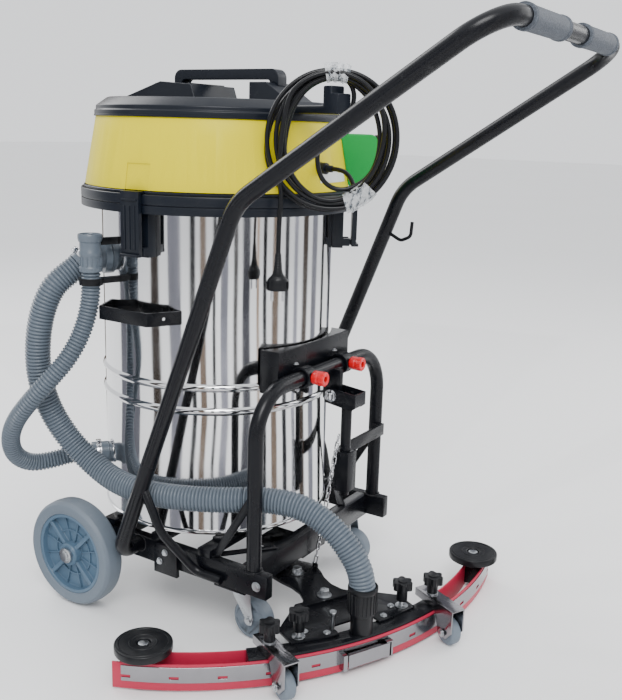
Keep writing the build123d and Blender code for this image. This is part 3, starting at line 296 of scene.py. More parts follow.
def moulded(name, colour, rough, grain, depth, mottle, scuff=0.0, dust=0.0, **constants):
    """Plastic, rubber or paint: a fine grain of some depth, slow mottling, small scuffs and a little
    dust on top."""
    finish = Finish(name, **constants)
    slow = finish.noise(9, 4, 0.6)
    fine = finish.noise(grain, 2)
    tone = finish.mix(slow, shade(colour, 1 - mottle), shade(colour, 1 + mottle))
    marks = finish.noise(46, 6, 0.75)
    worn = marks.span(0.60, 0.72) * scuff
    tone = finish.mix(worn, tone, shade([0.35 + 0.5 * part for part in colour], 0.55))
    up = finish.node("SeparateXYZ", {}, {0: finish.node("NewGeometry", out="Normal")}, out="Z")
    dusty = up.span(0.55, 1.0) * finish.noise(30, 5, 0.7).span(0.35, 0.75) * dust
    tone = finish.mix(dusty, tone, (0.32, 0.31, 0.29, 1))
    finish.feed("Base Color", tone)
    finish.feed("Roughness", rough + (slow - 0.5) * 0.16 + worn * 0.25 + dusty * 0.35)
    finish.relief((slow, 0.12, 0.0006), (fine, 0.35, depth))
    return finish


def metal(name, colour, rough, brushed=None, mottle=0.12):
    """Plated or brushed metal: fine lines along a direction, and faint stains."""
    finish = Finish(name, Metallic=1.0)
    slow = finish.noise(26, 5, 0.65)
    fine = finish.noise(500, 3, 0.6, stretch=brushed or (1, 1, 1))
    finish.feed("Base Color", finish.mix(slow, shade(colour, 1 - mottle), shade(colour, 1 + mottle)))
    finish.feed("Roughness", rough + (slow - 0.5) * 0.2 + (fine - 0.5) * 0.12)
    finish.relief((fine, 0.3, 0.00006))
    return finish


def mirror_steel():
    """Polished sheet of the tank: slight waves in the sheet, faint vertical wiping marks, and vertical bands of
    brighter and darker steel colour that are painted reflection streaks.
    """
    finish = Finish("polished_steel", Metallic=1.0)
    waves = finish.noise(5.5, 2, 0.4, stretch=(1, 1, 0.22))
    wiping = finish.noise(260, 3, 0.6, stretch=(1, 1, 0.02))
    # Vertical bands of brighter and darker base colour stand for the room's reflection streaks: painted
    # reflection. The same bands also make the sheet rougher where it is brighter.
    painted_streaks_and_smears = finish.noise(14, 5, 0.7, stretch=(1, 1, 0.3))
    finish.feed("Base Color", finish.mix(painted_streaks_and_smears, (0.60, 0.605, 0.62, 1), (0.80, 0.80, 0.80, 1)))
    finish.feed("Roughness", 0.055 + painted_streaks_and_smears.span(0.35, 0.8) * 0.09 + (wiping - 0.5) * 0.03)
    finish.relief((waves, 0.45, 0.006), (wiping, 0.1, 0.0001))
    return finish


def ribbed_grip(colour):
    """Rubber grip with a fine woven relief, its raised cells painted lighter and its hollows painted darker, as
    painted highlight and shade.
    """
    finish = Finish("grip_rubber")
    weave = finish.node("TexVoronoi", {}, {"Vector": finish.place, "Scale": 420.0})
    slow = finish.noise(20, 4)
    # Colour follows the relief: the raised cells are lighter as a painted highlight, and the hollows between them
    # are darker as painted shade.
    finish.feed("Base Color", finish.mix(weave.span(0.0, 0.6), shade(colour, 1.35), shade(colour, 0.6)))
    finish.feed("Roughness", 0.62 + (slow - 0.5) * 0.2)
    finish.relief((1 - weave, 0.9, 0.0007))
    return finish


def felt():
    """Felt of the filter basket."""
    finish = Finish("filter_felt")
    strands = finish.noise(700, 4, 0.7, stretch=(1, 0.3, 1))
    finish.feed("Base Color", finish.mix(strands, (0.50, 0.49, 0.44, 1), (0.80, 0.79, 0.73, 1)))
    finish.feed("Roughness", 0.85 + strands * 0.1)
    finish.relief((strands, 0.8, 0.0006))
    return finish


def film():
    """Clear wrinkled stretch film."""
    finish = Finish("stretch_film", Roughness=0.12)
    creases = finish.noise(120, 5, 0.75, stretch=(1, 1, 0.35))
    sharp = 1 - (creases - 0.5).span(0.0, 0.09)
    finish.feed("Base Color", finish.mix(sharp, (0.36, 0.42, 0.48, 1), (0.93, 0.95, 0.97, 1)))
    finish.feed("Alpha", 0.10 + sharp * 0.22)
    finish.relief((creases, 1.0, 0.003))
    return finish


finishes = {}


def mix_finishes():
    """Makes each material once, from the colours in the panel."""
    scene = bpy.context.scene
    body, hoses, cord = scene.vacuum_body, scene.vacuum_hoses, scene.vacuum_cord
    finishes.update(
        frame_black=moulded("powder_coat", body.frame_colour, 0.27, 900, 0.00010, 0.2, 0.07, 0.02,
                            Specular_IOR_Level=0.3),
        head_black=moulded("head_plastic", body.head_colour, 0.34, 1700, 0.00008, 0.15, 0.05, 0.04,
                           Specular_IOR_Level=0.32),
        cowl_yellow=moulded("cowl_plastic", body.cowl_colour, 0.34, 1500, 0.00004, 0.05, 0.0, 0.01,
                            Specular_IOR_Level=0.14),
        panel_green=moulded("panel_plastic", body.panel_colour, 0.32, 1500, 0.00004, 0.06, 0.0, 0.01,
                            Specular_IOR_Level=0.28),
        hose_grey=moulded("hose_plastic", hoses.colour, 0.34, 1100, 0.00005, 0.14, 0.06, 0.05),
        cord_black=moulded("cord_rubber", cord.colour, 0.30, 1600, 0.00005, 0.2, 0.05, 0.01,
                           Specular_IOR_Level=0.35),
        tyre_grey=moulded("tyre_rubber", body.tyre_colour, 0.52, 900, 0.0001, 0.12, 0.35, 0.12),
        hub_blue=moulded("hub_plastic", body.hub_colour, 0.36, 1200, 0.00005, 0.08, 0.12, 0.05),
        blade_red=moulded("squeegee_rubber", body.blade_colour, 0.42, 1000, 0.00006, 0.08, 0.06, 0.05),
        cap_red=moulded("cap_plastic", body.cap_colour, 0.28, 1200, 0.00003, 0.05, 0.0, 0.0, Coat_Weight=0.3),
        knob_black=moulded("knob_plastic", (0.004, 0.0045, 0.006), 0.34, 1500, 0.00007, 0.2, 0.05, 0.02,
                           Specular_IOR_Level=0.32),
        label_white=moulded("blank_label", (0.62, 0.63, 0.60), 0.4, 1500, 0.00002, 0.04),
        plated_steel=metal("zinc_plate", (0.52, 0.54, 0.56), 0.30),
        strap_steel=metal("brushed_strap", (0.30, 0.295, 0.31), 0.20, (1, 1, 14)),
        motor_metal=metal("cast_aluminium", (0.45, 0.45, 0.47), 0.48),
        bright_steel=metal("bright_steel", (0.70, 0.71, 0.73), 0.14),
        stainless=mirror_steel(),
        grip_grey=ribbed_grip((0.085, 0.10, 0.125)),
        filter_cloth=felt(),
        film=film(),
    )


# ---------------------------------------------------------------- modelling by operators
def alone(piece):
    """Selects one object and nothing else."""
    bpy.ops.object.select_all(action="DESELECT")
    piece.select_set(True)
    bpy.context.view_layer.objects.active = piece


def editing(piece, everything=True):
    """Enters edit mode with the whole piece selected, or none of it."""
    alone(piece)
    bpy.context.tool_settings.mesh_select_mode = (True, False, False)
    bpy.ops.object.mode_set(mode="EDIT")
    bpy.ops.mesh.select_all(action="SELECT" if everything else "DESELECT")


def done_editing():
    """Back to object mode."""
    bpy.ops.object.mode_set(mode="OBJECT")


def pick(piece, test, kind="FACE"):
    """Selects the faces, or the vertices, that pass the test, in edit mode."""
    bpy.ops.object.mode_set(mode="OBJECT")
    mesh = piece.data
    for group in (mesh.vertices, mesh.edges, mesh.polygons):
        group.foreach_set("select", [False] * len(group))
    if kind == "FACE":
        for face in mesh.polygons:
            face.select = test(face.center, face.normal)
    else:
        for vertex in mesh.vertices:
            vertex.select = test(vertex.co)
    bpy.context.tool_settings.mesh_select_mode = (kind == "VERT", False, kind == "FACE")
    bpy.ops.object.mode_set(mode="EDIT")
    if kind == "FACE":
        bpy.ops.mesh.select_mode(type="FACE")


def set_place(piece, place):
    """Puts a finished shape at its place, with the place in its mesh."""
    piece.matrix_world = place
    alone(piece)
    bpy.ops.object.transform_apply(location=True, rotation=True, scale=True)


def facing(origin, direction, across=None):
    """A place whose Z axis has the given direction."""
    z = Vector(direction).normalized()
    x = Vector(across) if across else (Vector((0, 0, 1)) if abs(z.z) < 0.9 else Vector((1, 0, 0)))
    y = z.cross(x).normalized()
    x = y.cross(z)
    return Matrix.Translation(Vector(origin)) @ Matrix((x, y, z)).transposed().to_4x4()


def modifier(piece, kind, **settings):
    """Adds a modifier, sets it and applies it."""
    alone(piece)
    made = piece.modifiers.new(kind.lower(), kind)
    for key, value in settings.items():
        setattr(made, key, value)
    bpy.ops.object.modifier_apply(modifier=made.name)


def smooth(piece, angle=35):
    """Smooth shading, with edges sharper than the angle left hard."""
    alone(piece)
    bpy.ops.object.shade_smooth_by_angle(angle=radians(angle))


def paint(piece, *names):
    """Gives a piece its materials, by their slots' names."""
    piece.data.materials.clear()
    for name in names:
        piece.data.materials.append(finishes[name].material)


def recalculate(piece):
    """Merges doubled points and turns all faces outwards."""
    editing(piece)
    bpy.ops.mesh.remove_doubles(threshold=0.00001)
    bpy.ops.mesh.normals_make_consistent(inside=False)
    done_editing()


def join(name, pieces):
    """Joins shapes into one object."""
    bpy.ops.object.select_all(action="DESELECT")
    for piece in pieces:
        piece.select_set(True)
    bpy.context.view_layer.objects.active = pieces[0]
    if len(pieces) > 1:
        bpy.ops.object.join()
    pieces[0].name = pieces[0].data.name = name
    return pieces[0]


def copy_of(piece, place=None):
    """A copy with its own mesh, moved to a place."""
    made = piece.copy()
    made.data = piece.data.copy()
    bpy.context.scene.collection.objects.link(made)
    if place is not None:
        set_place(made, place)
    return made


def lathe(profile, sides=48, place=None):
    """Turned shape: a circle extruded and resized from one (radius, height) to the next.
    A first or last radius of 0 closes that end, and otherwise the shape is a closed ring."""
    closed_low, closed_high = profile[0][0] == 0, profile[-1][0] == 0
    rings = profile[closed_low:len(profile) - closed_high]
    radius, height = rings[0]
    bpy.ops.object.select_all(action="DESELECT")
    bpy.ops.mesh.primitive_circle_add(vertices=sides, radius=radius, location=(0, 0, 0))
    piece = bpy.context.object
    editing(piece)
    bpy.ops.transform.translate(value=(0, 0, height))
    if closed_low:
        cap_end(height, profile[0][1])
        pick(piece, lambda co: hypot(co.x, co.y) > radius * 0.999, "VERT")
    for wider, higher in rings[1:] if closed_low or closed_high else rings[1:] + rings[:1]:
        bpy.ops.mesh.extrude_region_move(TRANSFORM_OT_translate={"value": (0, 0, higher - height)})
        factor = wider / radius
        bpy.ops.transform.resize(value=(factor, factor, 1), center_override=(0, 0, higher))
        radius, height = wider, higher
    if closed_high:
        cap_end(height, profile[-1][1])
    done_editing()
    recalculate(piece)
    if place is not None:
        set_place(piece, place)
    return piece


def cap_end(height, top):
    """Closes a ring by a small last ring and a face."""
    bpy.ops.mesh.extrude_region_move(TRANSFORM_OT_translate={"value": (0, 0, top - height)})
    bpy.ops.transform.resize(value=(0.02, 0.02, 1), center_override=(0, 0, top))
    bpy.ops.mesh.edge_face_add()


def hex_head(size, thick, place, bevel=0.0004):
    """Hexagon head or nut, chamfered."""
    bpy.ops.object.select_all(action="DESELECT")
    bpy.ops.mesh.primitive_cylinder_add(vertices=6, radius=size / sqrt(3), depth=thick,
                                        location=(0, 0, thick / 2))
    piece = bpy.context.object
    editing(piece, False)
    pick(piece, lambda centre, normal: normal.z > 0.9)
    bpy.ops.mesh.inset(thickness=size * 0.06, depth=0.0)
    bpy.ops.transform.translate(value=(0, 0, bevel * 2))
    done_editing()
    modifier(piece, "BEVEL", width=bevel, segments=2, limit_method="ANGLE", angle_limit=radians(25))
    set_place(piece, place)
    return piece


def slab(low, high, place=None, bevel=0.001, segments=3):
    """Box with rounded edges between two corners."""
    low, high = Vector(low), Vector(high)
    bpy.ops.object.select_all(action="DESELECT")
    bpy.ops.mesh.primitive_cube_add(size=1, location=(low + high) / 2)
    piece = bpy.context.object
    piece.scale = high - low
    bpy.ops.object.transform_apply(location=True, rotation=True, scale=True)
    modifier(piece, "BEVEL", width=bevel, segments=segments, limit_method="ANGLE", angle_limit=radians(30))
    if place is not None:
        set_place(piece, place)
    return piece


def settle(piece, name, body, slot, *nodes, angle=35):
    """Names a finished piece, smooths it, ties it to its body and hides its CAD nodes. Its slot is not used."""
    piece.name = piece.data.name = name
    smooth(piece, angle)
    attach(piece, body)
    if nodes:
        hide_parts(*nodes)
    return piece


def assembled(name, pieces, finish, body, slot, *nodes, place=None, merged=False, angle=35):
    """Joins shapes into one finished piece: moved to its place, with its faces turned outwards if
    merged is set, and with its material, body and CAD nodes. Its slot is passed on to settle, which does not use
    it."""
    piece = join(name, pieces)
    if place is not None:
        set_place(piece, place)
    if merged:
        recalculate(piece)
    paint(piece, finish)
    return settle(piece, name, body, slot, *nodes, angle=angle)


def softened(node, width, segments=2, angle=28, slots=None, chooser=None):
    """The CAD part with its edges rounded by a width. With a chooser, each face takes one of the
    slots' materials."""
    piece = NODES[node].copy()
    piece.data = NODES[node].data.copy()
    for key in list(piece.keys()):
        del piece[key]
    piece.parent = None
    bpy.context.scene.collection.objects.link(piece)
    piece.hide_render = piece.hide_viewport = False
    editing(piece)
    bpy.ops.mesh.remove_doubles(threshold=0.000002)
    bpy.ops.mesh.dissolve_limited(angle_limit=radians(0.5))
    done_editing()
    for attribute in [a.name for a in piece.data.attributes if a.name.startswith("custom_normal")]:
        piece.data.attributes.remove(piece.data.attributes[attribute])
    modifier(piece, "BEVEL", width=width * bpy.context.scene.vacuum_body.edge, segments=segments,
             limit_method="ANGLE", angle_limit=radians(angle))
    paint(piece, *(slots or [SLOT_OF[node]]))
    for face in piece.data.polygons:
        face.material_index = chooser(face.center - SHIFT) if chooser else 0
    return settle(piece, node + "_made", BODY_OF[node], SLOT_OF[node], node)


# ---------------------------------------------------------------- tubes along routes
def spline_of(points, resolution=12):
    """Smooth NURBS curve with the route's points as its control points."""
    curve = bpy.data.curves.new("route", "CURVE")
    curve.dimensions = "3D"
    curve.resolution_u = resolution
    spline = curve.splines.new("NURBS")
    spline.points.add(len(points) - 1)
    for spot, point in zip(spline.points, points):
        spot.co = (*point, 1.0)
    spline.order_u = 3
    spline.use_endpoint_u = True
    return curve


def line_of(points, step):
    """Points read from the route's spline, evenly apart."""
    curve = spline_of(points, 24)
    holder = bpy.data.objects.new("route", curve)
    bpy.context.scene.collection.objects.link(holder)
    bpy.context.view_layer.update()
    mesh = bpy.data.meshes.new_from_object(holder.evaluated_get(bpy.context.evaluated_depsgraph_get()))
    line = [vertex.co.copy() for vertex in mesh.vertices]
    bpy.data.objects.remove(holder)
    bpy.data.curves.remove(curve)
    bpy.data.meshes.remove(mesh)
    lengths = [0.0]
    for a, b in zip(line, line[1:]):
        lengths.append(lengths[-1] + (b - a).length)
    count = max(2, round(lengths[-1] / step))
    even, index = [], 0
    for k in range(count + 1):
        wanted = lengths[-1] * k / count
        while index < len(line) - 2 and lengths[index + 1] < wanted:
            index += 1
        run = lengths[index + 1] - lengths[index]
        even.append(line[index].lerp(line[index + 1], (wanted - lengths[index]) / run))
    return even, lengths[-1]


def tube_mesh(name, line, radius_at, sides=28):
    """Closed tube along a line. radius_at(index, angle) gives its radius."""
    ahead, behind = line[1:] + line[-1:], line[:1] + line[:-1]
    tangents = [(after - before).normalized() for after, before in zip(ahead, behind)]
    side = tangents[0].orthogonal().normalized()
    vertices, faces = [], []
    for k, (point, tangent) in enumerate(zip(line, tangents)):
        side = (side - tangent * side.dot(tangent)).normalized()
        other = tangent.cross(side)
        for j in range(sides):
            angle = 2 * pi * j / sides
            vertices.append(point + (side * cos(angle) + other * sin(angle)) * radius_at(k, angle))
    for k in range(len(line) - 1):
        for j in range(sides):
            a, b = k * sides + j, k * sides + (j + 1) % sides
            faces.append((a, b, b + sides, a + sides))
    last = (len(line) - 1) * sides
    faces.append(tuple(reversed(range(sides))))
    faces.append(tuple(range(last, last + sides)))
    mesh = bpy.data.meshes.new(name)
    mesh.from_pydata([tuple(v) for v in vertices], [], faces)
    piece = bpy.data.objects.new(name, mesh)
    bpy.context.scene.collection.objects.link(piece)
    return piece


def corrugated(name, route, diameter):
    """Corrugated hose along a route: rounded ridges with narrow grooves between them."""
    hoses = bpy.context.scene.vacuum_hoses
    depths = (1.0, 0.35, 0.0, 0.0, 0.35)
    line, length = line_of([row(point) for point in route], hoses.ridge_pitch / len(depths))

    def radius_at(k, _):
        return diameter / 2 - hoses.ridge_depth * depths[k % len(depths)]

    piece = tube_mesh(name, line, radius_at, 30)
    paint(piece, "hose_grey")
    smooth(piece, 60)
    return piece, line[::len(depths)], length


class VACUUM_OT_suction_hose(bpy.types.Operator):
    """Corrugated suction hose in its two lengths, from the tank to the squeegee"""
    bl_idname = "vacuum.suction_hose"
    bl_label = "Suction hose"

    def execute(self, context):
        diameter = context.scene.vacuum_hoses.suction_diameter
        hose, path, length = corrugated("suction_hose_tube", SUCTION_ROUTE, diameter)
        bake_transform(hose, "root", "swing_block", start=row((-0.250, 0.060, 0.262)), end=row(SUCTION_ROUTE[-1]))
        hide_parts("suction_hose")
        end, path, length = corrugated("suction_hose_lower", SUCTION_END_ROUTE, diameter)
        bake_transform(end, "swing_block", "squeegee", start=row(SUCTION_END_ROUTE[1]),
                 end=row((-0.137, -0.411, 0.192)))
        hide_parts("suction_hose_end")
        return {"FINISHED"}


class VACUUM_OT_drain_hose(bpy.types.Operator):
    """Corrugated drain hose with its closed cuff, hung at the side of the tank"""
    bl_idname = "vacuum.drain_hose"
    bl_label = "Drain hose"

    def execute(self, context):
        diameter = context.scene.vacuum_hoses.drain_diameter
        hose, path, length = corrugated("drain_hose_tube", DRAIN_ROUTE, diameter)
        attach(hose, "root")
        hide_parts("drain_hose")
        place = Matrix.Translation(row(DRAIN_ROUTE[-1]))
        r = diameter / 2
        profile = [
            (0, -0.006), (r + 0.0005, -0.006), (r + 0.0030, -0.005), (r + 0.0034, 0.002), (r + 0.0020, 0.004),
            (r + 0.0018, 0.022), (r + 0.0030, 0.024), (r + 0.0030, 0.029), (r + 0.0016, 0.031),
            (r + 0.0016, 0.046), (r + 0.0034, 0.048), (0.0205, 0.050), (0.0215, 0.052), (0.0215, 0.0585),
            (0.0205, 0.0605), (0.0185, 0.061), (0.0175, 0.0585), (0.006, 0.0580), (0.004, 0.0600),
            (0, 0.0600),
        ]
        made = [lathe(profile, 48, place)]
        ribs = 14
        for k in range(ribs):
            rib = slab((r + 0.001, -0.0009, 0.0055), (r + 0.0034, 0.0009, 0.0205), bevel=0.0004, segments=2)
            set_place(rib, place @ Matrix.Rotation(k * 2 * pi / ribs, 4, "Z"))
            made.append(rib)
        cuff = assembled("drain_cuff_cap", made, "hose_grey", "root", "hose_grey", "drain_cuff")
        return {"FINISHED"}


def coil_place(across, up, lift):
    """Point beside the coil's centre: across its plane, upwards, and out of it towards the operator."""
    return COIL_CENTRE + COIL_ACROSS * across + Vector((0, 0, up)) + COIL_FACING * lift


def coil_spot(angle, spread, lift):
    """Point of the coil's bundle at an angle, some way off the bundle's middle."""
    cord = bpy.context.scene.vacuum_cord
    across = (cord.half_width + spread) * cos(angle)
    up = (cord.half_height + spread) * sin(angle)
    return coil_place(across, up, lift)


def first_loop():
    """From the gland half round behind the bundle, down across its middle and on to its right."""
    behind = -0.0125
    points = [Vector(point) for point in CORD_LEAD_ROUTE]
    points += [coil_place(0.040, -0.094, -0.0195), coil_place(0.027, -0.105, -0.0135),
               coil_place(0.002, -0.109, behind)]
    for k in range(1, 9):
        points.append(coil_spot(radians(-92 - 21 * k), -0.002 + 0.004 * sin(k), behind))
    points += [coil_place(*spot) for spot in (
        (0.016, 0.103, -0.011), (0.034, 0.081, -0.010), (0.033, 0.054, -0.008), (0.014, 0.030, -0.005),
        (-0.010, 0.010, -0.002), (-0.024, -0.016, 0.0), (-0.023, -0.045, -0.001),
        (-0.014, -0.067, -0.003), (0.006, -0.081, -0.005), (0.033, -0.080, -0.006),
    )]
    return points


def wound_turns():
    """The turns of the coil. Each turn has its own station in the bundle's cross-section, and the
    cord shifts from one station to the next part of the way round. The bundle fans out at its sides."""
    stations = [(-0.008, -0.006), (0.001, -0.010), (0.010, -0.007), (0.011, 0.002), (0.002, 0.001),
                (-0.007, 0.004), (0.003, 0.011)]
    per_turn = 14
    last = len(stations) - 2
    points = []
    steps = round(per_turn * (bpy.context.scene.vacuum_cord.turns + 0.56))
    for k in range(1, steps + 1):
        done = k / per_turn
        turn = min(int(done), last)
        change = (done - int(done) - 0.10 - 0.11 * (last - turn)) / 0.2
        share = min(1.0, max(0.0, change))
        a, b = stations[turn], stations[turn + 1]
        angle = radians(-62) + 2 * pi * done
        left, right = max(0.0, cos(angle - radians(182))), max(0.0, cos(angle - radians(8)))
        fan = 0.85 + 1.25 * left ** 1.5 + 0.7 * right ** 2
        wobble = 0.0016 * sin(3.1 * done + turn * 1.7)
        sag = 0.004 * max(0.0, cos(angle - radians(200))) * sin(turn * 2.1)
        spread = (a[0] + (b[0] - a[0]) * share) * fan + wobble + sag
        lift = (a[1] + (b[1] - a[1]) * share) * (0.8 + 0.3 * fan)
        points.append(coil_spot(angle, spread, lift))
    return points


def cord_points():
    """Control points of the whole cord, in the row frame."""
    points = first_loop() + wound_turns() + [coil_place(-0.088, -0.055, 0.014)]
    return [row(point) for point in points + [Vector(point) for point in CORD_TAIL_ROUTE]]


class VACUUM_OT_mains_cord(bpy.types.Operator):
    """Mains cord, wound and hung on its hook, with its plug and the two film wraps"""
    bl_idname = "vacuum.mains_cord"
    bl_label = "Mains cord"

    def execute(self, context):
        cord = context.scene.vacuum_cord
        points = cord_points()
        curve = spline_of(points, 10)
        curve.bevel_depth = cord.diameter / 2
        curve.bevel_resolution = 4
        curve.use_fill_caps = True
        flex = bpy.data.objects.new("mains_cord", curve)
        context.scene.collection.objects.link(flex)
        curve.materials.append(finishes["cord_black"].material)
        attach(flex, "root")
        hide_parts("cord_lead", "cord_coil", "cord_tail")
        length = line_of(points, 0.01)[1]
        plug = self.plug()
        # the angle of each wrap's middle, half its sweep, and its radius
        self.wrap("film_wrap_upper", 87, 12, 0.0150)
        self.wrap("film_wrap_lower", -60, 15, 0.0165)
        return {"FINISHED"}

    def plug(self):
        """Moulded plug: ribbed relief, waisted body and two round pins."""
        top = row(CORD_TAIL_ROUTE[-1])
        place = Matrix.Translation(top) @ Matrix.Rotation(radians(-58), 4, "Z")
        relief = [(0, 0.001), (0.0046, 0.0008), (0.0050, 0)]
        for k in range(6):
            z, r = -0.0016 - 0.0042 * k, 0.0050 + 0.00035 * k
            relief += [(r, z), (r + 0.0005, z - 0.0008), (r + 0.0005, z - 0.0018), (r, z - 0.0026)]
        relief += [(0.0076, -0.0285), (0.0092, -0.0335), (0.0112, -0.0375), (0.0148, -0.041),
                   (0.0165, -0.044),
                   (0.0172, -0.052), (0.0178, -0.0595), (0.0170, -0.0617), (0, -0.0620)]
        body = lathe(relief, 36)
        pick(body, lambda co: co.z < -0.036, "VERT")
        bpy.ops.transform.resize(value=(1.06, 0.78, 1), center_override=(0, 0, -0.05))
        done_editing()
        pieces = [body]
        for x in (-0.0178, 0.0178):
            pieces.append(slab((x - 0.0012, -0.0075, -0.0585), (x + 0.0012, 0.0075, -0.046), bevel=0.0008))
        body = join("mains_plug_body", pieces)
        set_place(body, place)
        recalculate(body)
        pin = [(0, -0.0805), (0.0017, -0.0802), (0.0024, -0.0790), (0.0024, -0.0665), (0.0021, -0.0662),
               (0.0021, -0.060), (0, -0.060)]
        pins = [lathe(pin, 20, place @ Matrix.Translation((x, 0, 0))) for x in (-0.0095, 0.0095)]
        count = len(body.data.polygons)
        body = join("mains_plug_body", [body] + pins)
        paint(body, "cord_black", "bright_steel")
        for face in body.data.polygons:
            face.material_index = 0 if face.index < count else 1
        return settle(body, "mains_plug_body", "root", "cord_black", "mains_plug")

    def wrap(self, name, middle, half, thick):
        """Crumpled film round the bundle between two angles."""
        steps = 22
        line = []
        for k in range(steps + 1):
            angle = radians(middle + half * (2 * k / steps - 1))
            line.append(row(coil_spot(angle, 0.001, 0.0)))

        def radius_at(k, angle):
            crease = noise.noise(Vector((k * 0.35, cos(angle) * 1.6, sin(angle) * 1.6 + middle))) * 0.0026
            ridge = noise.noise(Vector((k * 0.9, cos(angle) * 5, sin(angle) * 5))) * 0.0012
            return thick * (1 + 0.07 * cos(2 * angle)) + crease + ridge

        piece = tube_mesh(name, line, radius_at, 44)
        ends = [face.center.copy() for face in piece.data.polygons if len(face.vertices) > 4]
        alone(piece)
        pick(piece, lambda centre, _: any((centre - end).length < 1e-7 for end in ends))
        bpy.ops.mesh.delete(type="FACE")
        done_editing()
        modifier(piece, "SOLIDIFY", thickness=0.0003, offset=1.0)
        paint(piece, "film")
        settle(piece, name, "root", None, angle=50)


# ---------------------------------------------------------------- floor, lights and camera
# Screens round the tank: direction and width in degrees, grey level, and whether the grey is warm.
SCREENS = [
    (-150, 26, 0.10, False), (-118, 9, 0.02, True), (-97, 12, 0.16, False), (-80, 5, 0.0, False),
    (-70, 6, 0.10, True), (-59, 3, 0.0, False), (-49, 7, 0.20, False), (-38, 4, 0.01, True),
    (-27, 8, 0.05, False), (-14, 3, 0.24, True), (-6, 4, 0.0, False), (6, 7, 0.11, True),
    (19, 5, 0.01, False), (31, 5, 0.22, False), (44, 8, 0.03, True), (60, 9, 0.14, False),
    (78, 6, 0.0, True), (104, 16, 0.10, False), (145, 20, 0.05, True),
]


class VACUUM_OT_stage(bpy.types.Operator):
    """Pale floor, soft studio light with darker screens for the steel to mirror, and the camera"""
    bl_idname = "vacuum.stage"
    bl_label = "Stage"

    def execute(self, context):
        bpy.ops.object.select_all(action="DESELECT")
        bpy.ops.mesh.primitive_plane_add(size=60, location=(0, 0, -0.0006))
        floor = bpy.context.object
        floor.name = "floor"
        surface = Finish("studio_floor", Roughness=0.75)
        patches = surface.noise(0.8, 3)
        surface.feed("Base Color", surface.mix(patches, (0.86, 0.86, 0.86, 1), (0.89, 0.89, 0.89, 1)))
        floor.data.materials.append(surface.material)
        world = bpy.data.worlds.new("studio")
        bpy.context.scene.world = world
        world.use_nodes = True
        background = world.node_tree.nodes["Background"]
        background.inputs["Color"].default_value = (0.96, 0.975, 1.0, 1)
        background.inputs["Strength"].default_value = 1.35
        self.light("key", (-2.4, -1.6, 3.4), 2.2, 120)
        self.light("fill", (2.6, -1.9, 2.0), 2.4, 45)
        self.light("rim", (0.4, 3.0, 2.8), 2.4, 60)
        for turn, wide, level, warm in SCREENS:
            self.screen(turn, wide, level, warm)
        self.camera()
        return {"FINISHED"}

    def camera(self):
        """Camera at the operator's left, looking a little down at the machine."""
        camera = bpy.data.cameras.new("camera")
        camera.sensor_width = 36
        camera.lens = 46.93
        holder = bpy.data.objects.new("camera", camera)
        bpy.context.scene.collection.objects.link(holder)
        azimuth, dip, roll = radians(-57.98), radians(13.70), radians(-1.67)
        right = Vector((cos(azimuth), sin(azimuth), 0))
        ahead = Vector((-sin(azimuth) * cos(dip), cos(azimuth) * cos(dip), -sin(dip)))
        down = ahead.cross(right)
        across = right * cos(roll) + down * sin(roll)
        below = down * cos(roll) - right * sin(roll)
        axes = Matrix((across, -below, -ahead)).transposed().to_4x4()
        holder.matrix_world = Matrix.Translation((-1.3322, -0.8889, 0.9069)) @ axes
        bpy.context.scene.camera = holder

    def light(self, name, place, size, power):
        """Round area light that looks at the middle of the machine."""
        lamp = bpy.data.lights.new(name, "AREA")
        lamp.shape = "DISK"
        lamp.size = size
        lamp.energy = power
        holder = bpy.data.objects.new(name, lamp)
        bpy.context.scene.collection.objects.link(holder)
        holder.matrix_world = facing(place, Vector(place) - Vector((0, 0, 0.5)))

    def screen(self, turn, wide, level, warm):
        """Dark cloth hung from above and run along the floor to the tank. Only shiny surfaces see it."""
        bpy.ops.object.select_all(action="DESELECT")
        bpy.ops.mesh.primitive_plane_add(size=1)
        made = bpy.context.object
        made.name = "screen_%d" % (turn % 360)
        near, far, tall, lift = 0.5, 2.8, 3.0, 0.0004
        half = radians(wide) / 2
        for vertex in made.data.vertices:
            reach = far if vertex.co.y > 0 else near
            angle = radians(turn) + (half if vertex.co.x > 0 else -half)
            vertex.co = (reach * sin(angle), -reach * cos(angle), lift)
        pick(made, lambda co: hypot(co.x, co.y) > far * 0.99, "VERT")
        bpy.ops.mesh.extrude_region_move(TRANSFORM_OT_translate={"value": (0, 0, tall)})
        done_editing()
        cloth = Finish("screen_cloth_%d" % (turn % 360), Roughness=1.0, Specular_IOR_Level=0.0)
        tone = (level * (1.35 if warm else 1.0) + 0.004, level + 0.004,
                level * (0.75 if warm else 1.15) + 0.005)
        cloth.feed("Base Color", cloth.mix(cloth.noise(2.0), shade(tone, 0.6), shade(tone, 1.5)))
        made.data.materials.append(cloth.material)
        made.visible_camera = made.visible_diffuse = made.visible_shadow = False


def bolt_set(place, size=0.010, washer=0.0072, thick=0.0045):
    """Hexagon head on a round washer."""
    ring = lathe([(0, 0), (washer * 0.96, 0), (washer, 0.0003), (washer, 0.0012), (washer * 0.96, 0.0015),
                  (0, 0.0015)], 32, place)
    head = hex_head(size, thick, place @ Matrix.Translation((0, 0, 0.0013)))
    return [ring, head]


